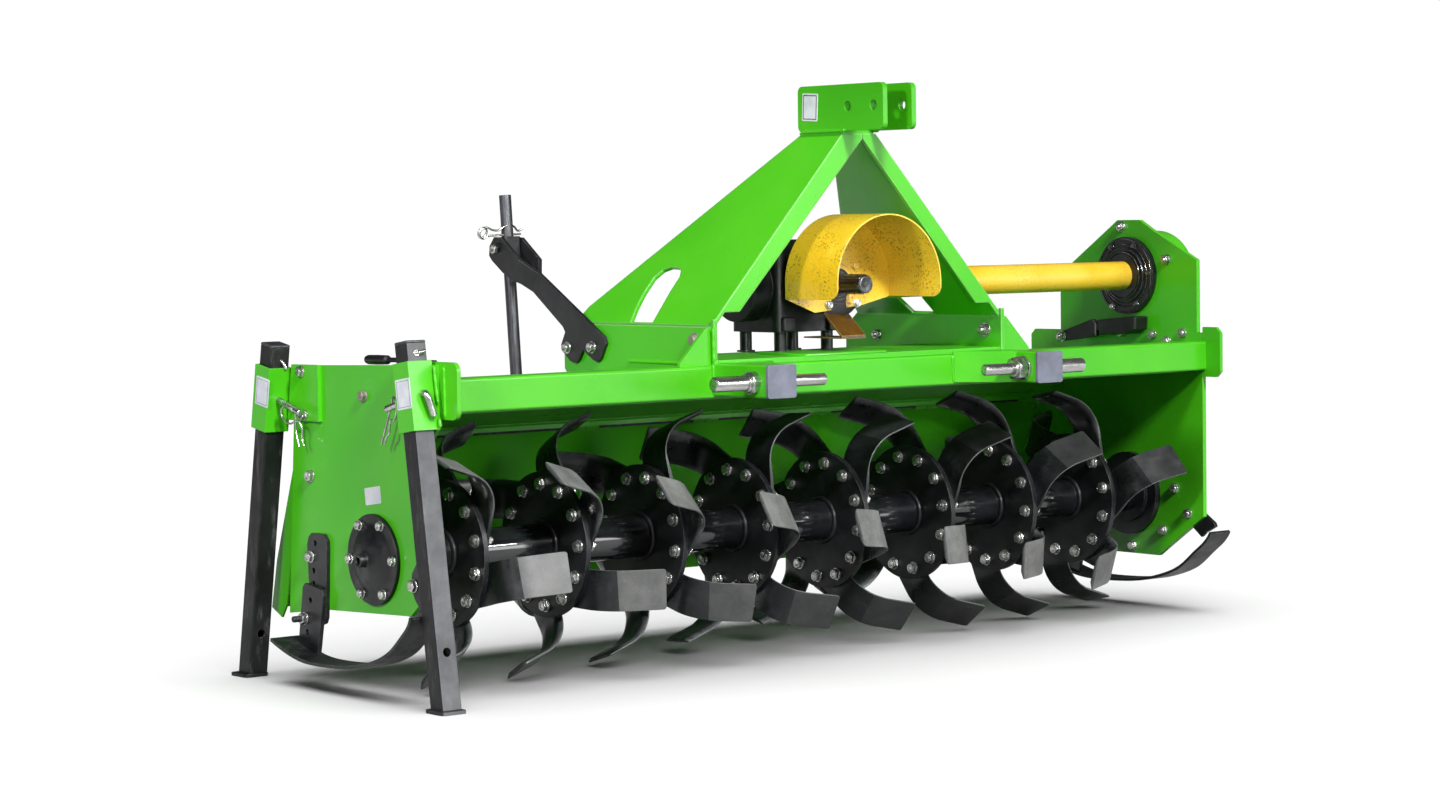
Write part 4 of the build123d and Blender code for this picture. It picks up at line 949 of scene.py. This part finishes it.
for x in (-302 - 33.5, -302 + 33.5, 370 - 33.5, 370 + 33.5):
    w.bead((x, -223.5, 331), (x, -223.5, 276), 2.6, 4.0)
for x, sgn in ((-10.6, -1), (74.2, 1)):
    w.bead((x, -96, 762.5), (x, -226, 762.5), 3.0, 4.0)
w.bead((974.4, -60, 262), (974.4, 60, 261), 3.0, 4.0)
w.bead((-926.6, -60, 262), (-926.6, 60, 261), 3.0, 4.0)
w.piece("weld_beads", "green", "frame", "green_paint", 60)

bpy.context.view_layer.update()

# ================================================================ stage, light, camera
import bmesh
me = bpy.data.meshes.new("floor")
s = 60.0
me.from_pydata([(-s, -s, 0), (s, -s, 0), (s, s, 0), (-s, s, 0)], [], [(0, 1, 2, 3)])
floor = bpy.data.objects.new("floor", me)
scene.collection.objects.link(floor)
floor.visible_diffuse = False
fm = Mat("pale_floor")
# the floor is tinted pink under green-tinted floor lamps: lit, it comes out white, while in its shadow the tint cancels
# the green light bounced off the paint, a painted neutral shade
fm.color(fm.mix(fm.ramp(fm.noise(0.6, 2.0), 0.3, 0.7), (0.855, 0.695, 0.855, 1), (0.880, 0.713, 0.880, 1)))
fm.set(Roughness=0.85, Specular_IOR_Level=0.2)
me.materials.append(fm.m)

world = bpy.data.worlds.new("studio")
scene.world = world
world.use_nodes = True
bg = world.node_tree.nodes["Background"]
bg.inputs[0].default_value = (0.94, 0.97, 1.0, 1)
bg.inputs[1].default_value = 0.06

# the white cyclorama behind everything: seen, but the studio lamps do the lighting
bmd = bmesh.new()
bmesh.ops.create_icosphere(bmd, subdivisions=5, radius=58.0)
for f in bmd.faces:
    f.normal_flip()
med = bpy.data.meshes.new("backdrop")
bmd.to_mesh(med)
bmd.free()
dome = bpy.data.objects.new("backdrop", med)
scene.collection.objects.link(dome)
dm = bpy.data.materials.new("backdrop_white")
dm.use_nodes = True
dm.node_tree.nodes.clear()
em = dm.node_tree.nodes.new("ShaderNodeEmission")
em.inputs[0].default_value = (1, 1, 1, 1)
em.inputs[1].default_value = 1.02
dm.node_tree.links.new(em.outputs[0], dm.node_tree.nodes.new("ShaderNodeOutputMaterial").inputs[0])
med.materials.append(dm)
dome.visible_diffuse = dome.visible_glossy = dome.visible_transmission = False
dome.visible_volume_scatter = dome.visible_shadow = False


# the lamps that shape the machine leave the floor alone, so its shadow comes from the overhead lamp only
not_floor = bpy.data.collections.new("not_floor")
not_floor.objects.link(floor)
not_floor.collection_objects[0].light_linking.link_state = "EXCLUDE"


floor_only = bpy.data.collections.new("floor_only")
floor_only.objects.link(floor)


def lamp(name, li, floor_too):
    o = bpy.data.objects.new(name, li)
    scene.collection.objects.link(o)
    if not floor_too:
        o.light_linking.receiver_collection = not_floor
    return o


def sun(name, towards, strength, spread, floor_too=False, color=(1, 1, 1)):
    """A soft lamp far away: towards points from the object to the lamp."""
    li = bpy.data.lights.new(name, "SUN")
    li.energy, li.angle, li.color = strength, math.radians(spread), color
    o = lamp(name, li, floor_too)
    o.rotation_euler = (-Vector(towards)).to_track_quat("-Z", "Y").to_euler()
    return o


def strip(name, at, target, size, size_y, energy, glossy_only=False, color=(1, 1, 1)):
    li = bpy.data.lights.new(name, "AREA")
    li.shape = "RECTANGLE"
    li.size, li.size_y = size, size_y
    li.energy, li.color = energy, color
    o = lamp(name, li, False)
    o.location = at
    o.rotation_euler = (Vector(target) - Vector(at)).to_track_quat("-Z", "Y").to_euler()
    if glossy_only:
        o.visible_diffuse = False
    return o


for name, towards, strength in (("floor_front", (-0.02, -0.62, 1.0), 2.55), ("floor_back", (-0.06, 0.04, 1.0), 2.55)):
    over = sun(name, towards, strength, 62, True, (0.81, 1.0, 0.81))
    over.light_linking.receiver_collection = floor_only
sun("key", (-0.16, -0.80, 0.58), 3.65, 9)
strip("side", (-3.75, -1.15, 2.0), (-0.9, 0, 0.4), 0.34, 0.34, 62)
sun("side_fill", (-0.93, -0.20, 0.30), 0.60, 40)
sun("low_front", (0.45, -0.89, 0.02), 1.35, 30)
strip("softbox_front", (0.8, -5.2, 2.9), (0.0, 0, 0.3), 3.0, 0.9, 14, True)
strip("strip_front", (0.2, -4.6, 2.2), (0.0, 0, 0.3), 5.4, 0.12, 300, True)
strip("strip_near", (-3.1, -4.5, 2.3), (0.0, 0, 0.5), 0.5, 0.5, 120, True)

# a narrow lamp that reaches into the input shaft's guard
li = bpy.data.lights.new("guard_spot", "SPOT")
li.energy, li.spot_size, li.spot_blend, li.shadow_soft_size = 95.0, math.radians(15), 0.75, 0.03
o = lamp("guard_spot", li, False)
o.location = (-1.75, -2.6, 1.02)
o.rotation_euler = (Vector((0.02, -0.25, 0.74)) - Vector((-1.75, -2.6, 1.02))).to_track_quat("-Z", "Y").to_euler()

cam_data = bpy.data.cameras.new("camera")
cam_data.lens = 82.997
cam_data.sensor_width = 36.0
cam_data.clip_end = 200.0
cam = bpy.data.objects.new("camera", cam_data)
scene.collection.objects.link(cam)
r = Vector((0.78354, -0.62116, -0.01503))
u = Vector((0.04672, 0.03477, 0.99830))
d = Vector((0.61958, 0.78291, -0.05627))
m = Matrix(((r.x, u.x, -d.x), (r.y, u.y, -d.y), (r.z, u.z, -d.z))).to_4x4()
m.translation = Vector((-4.1575, -5.0584, 0.8455))
cam.matrix_world = m
scene.camera = cam
scene.view_settings.view_transform = "Standard"
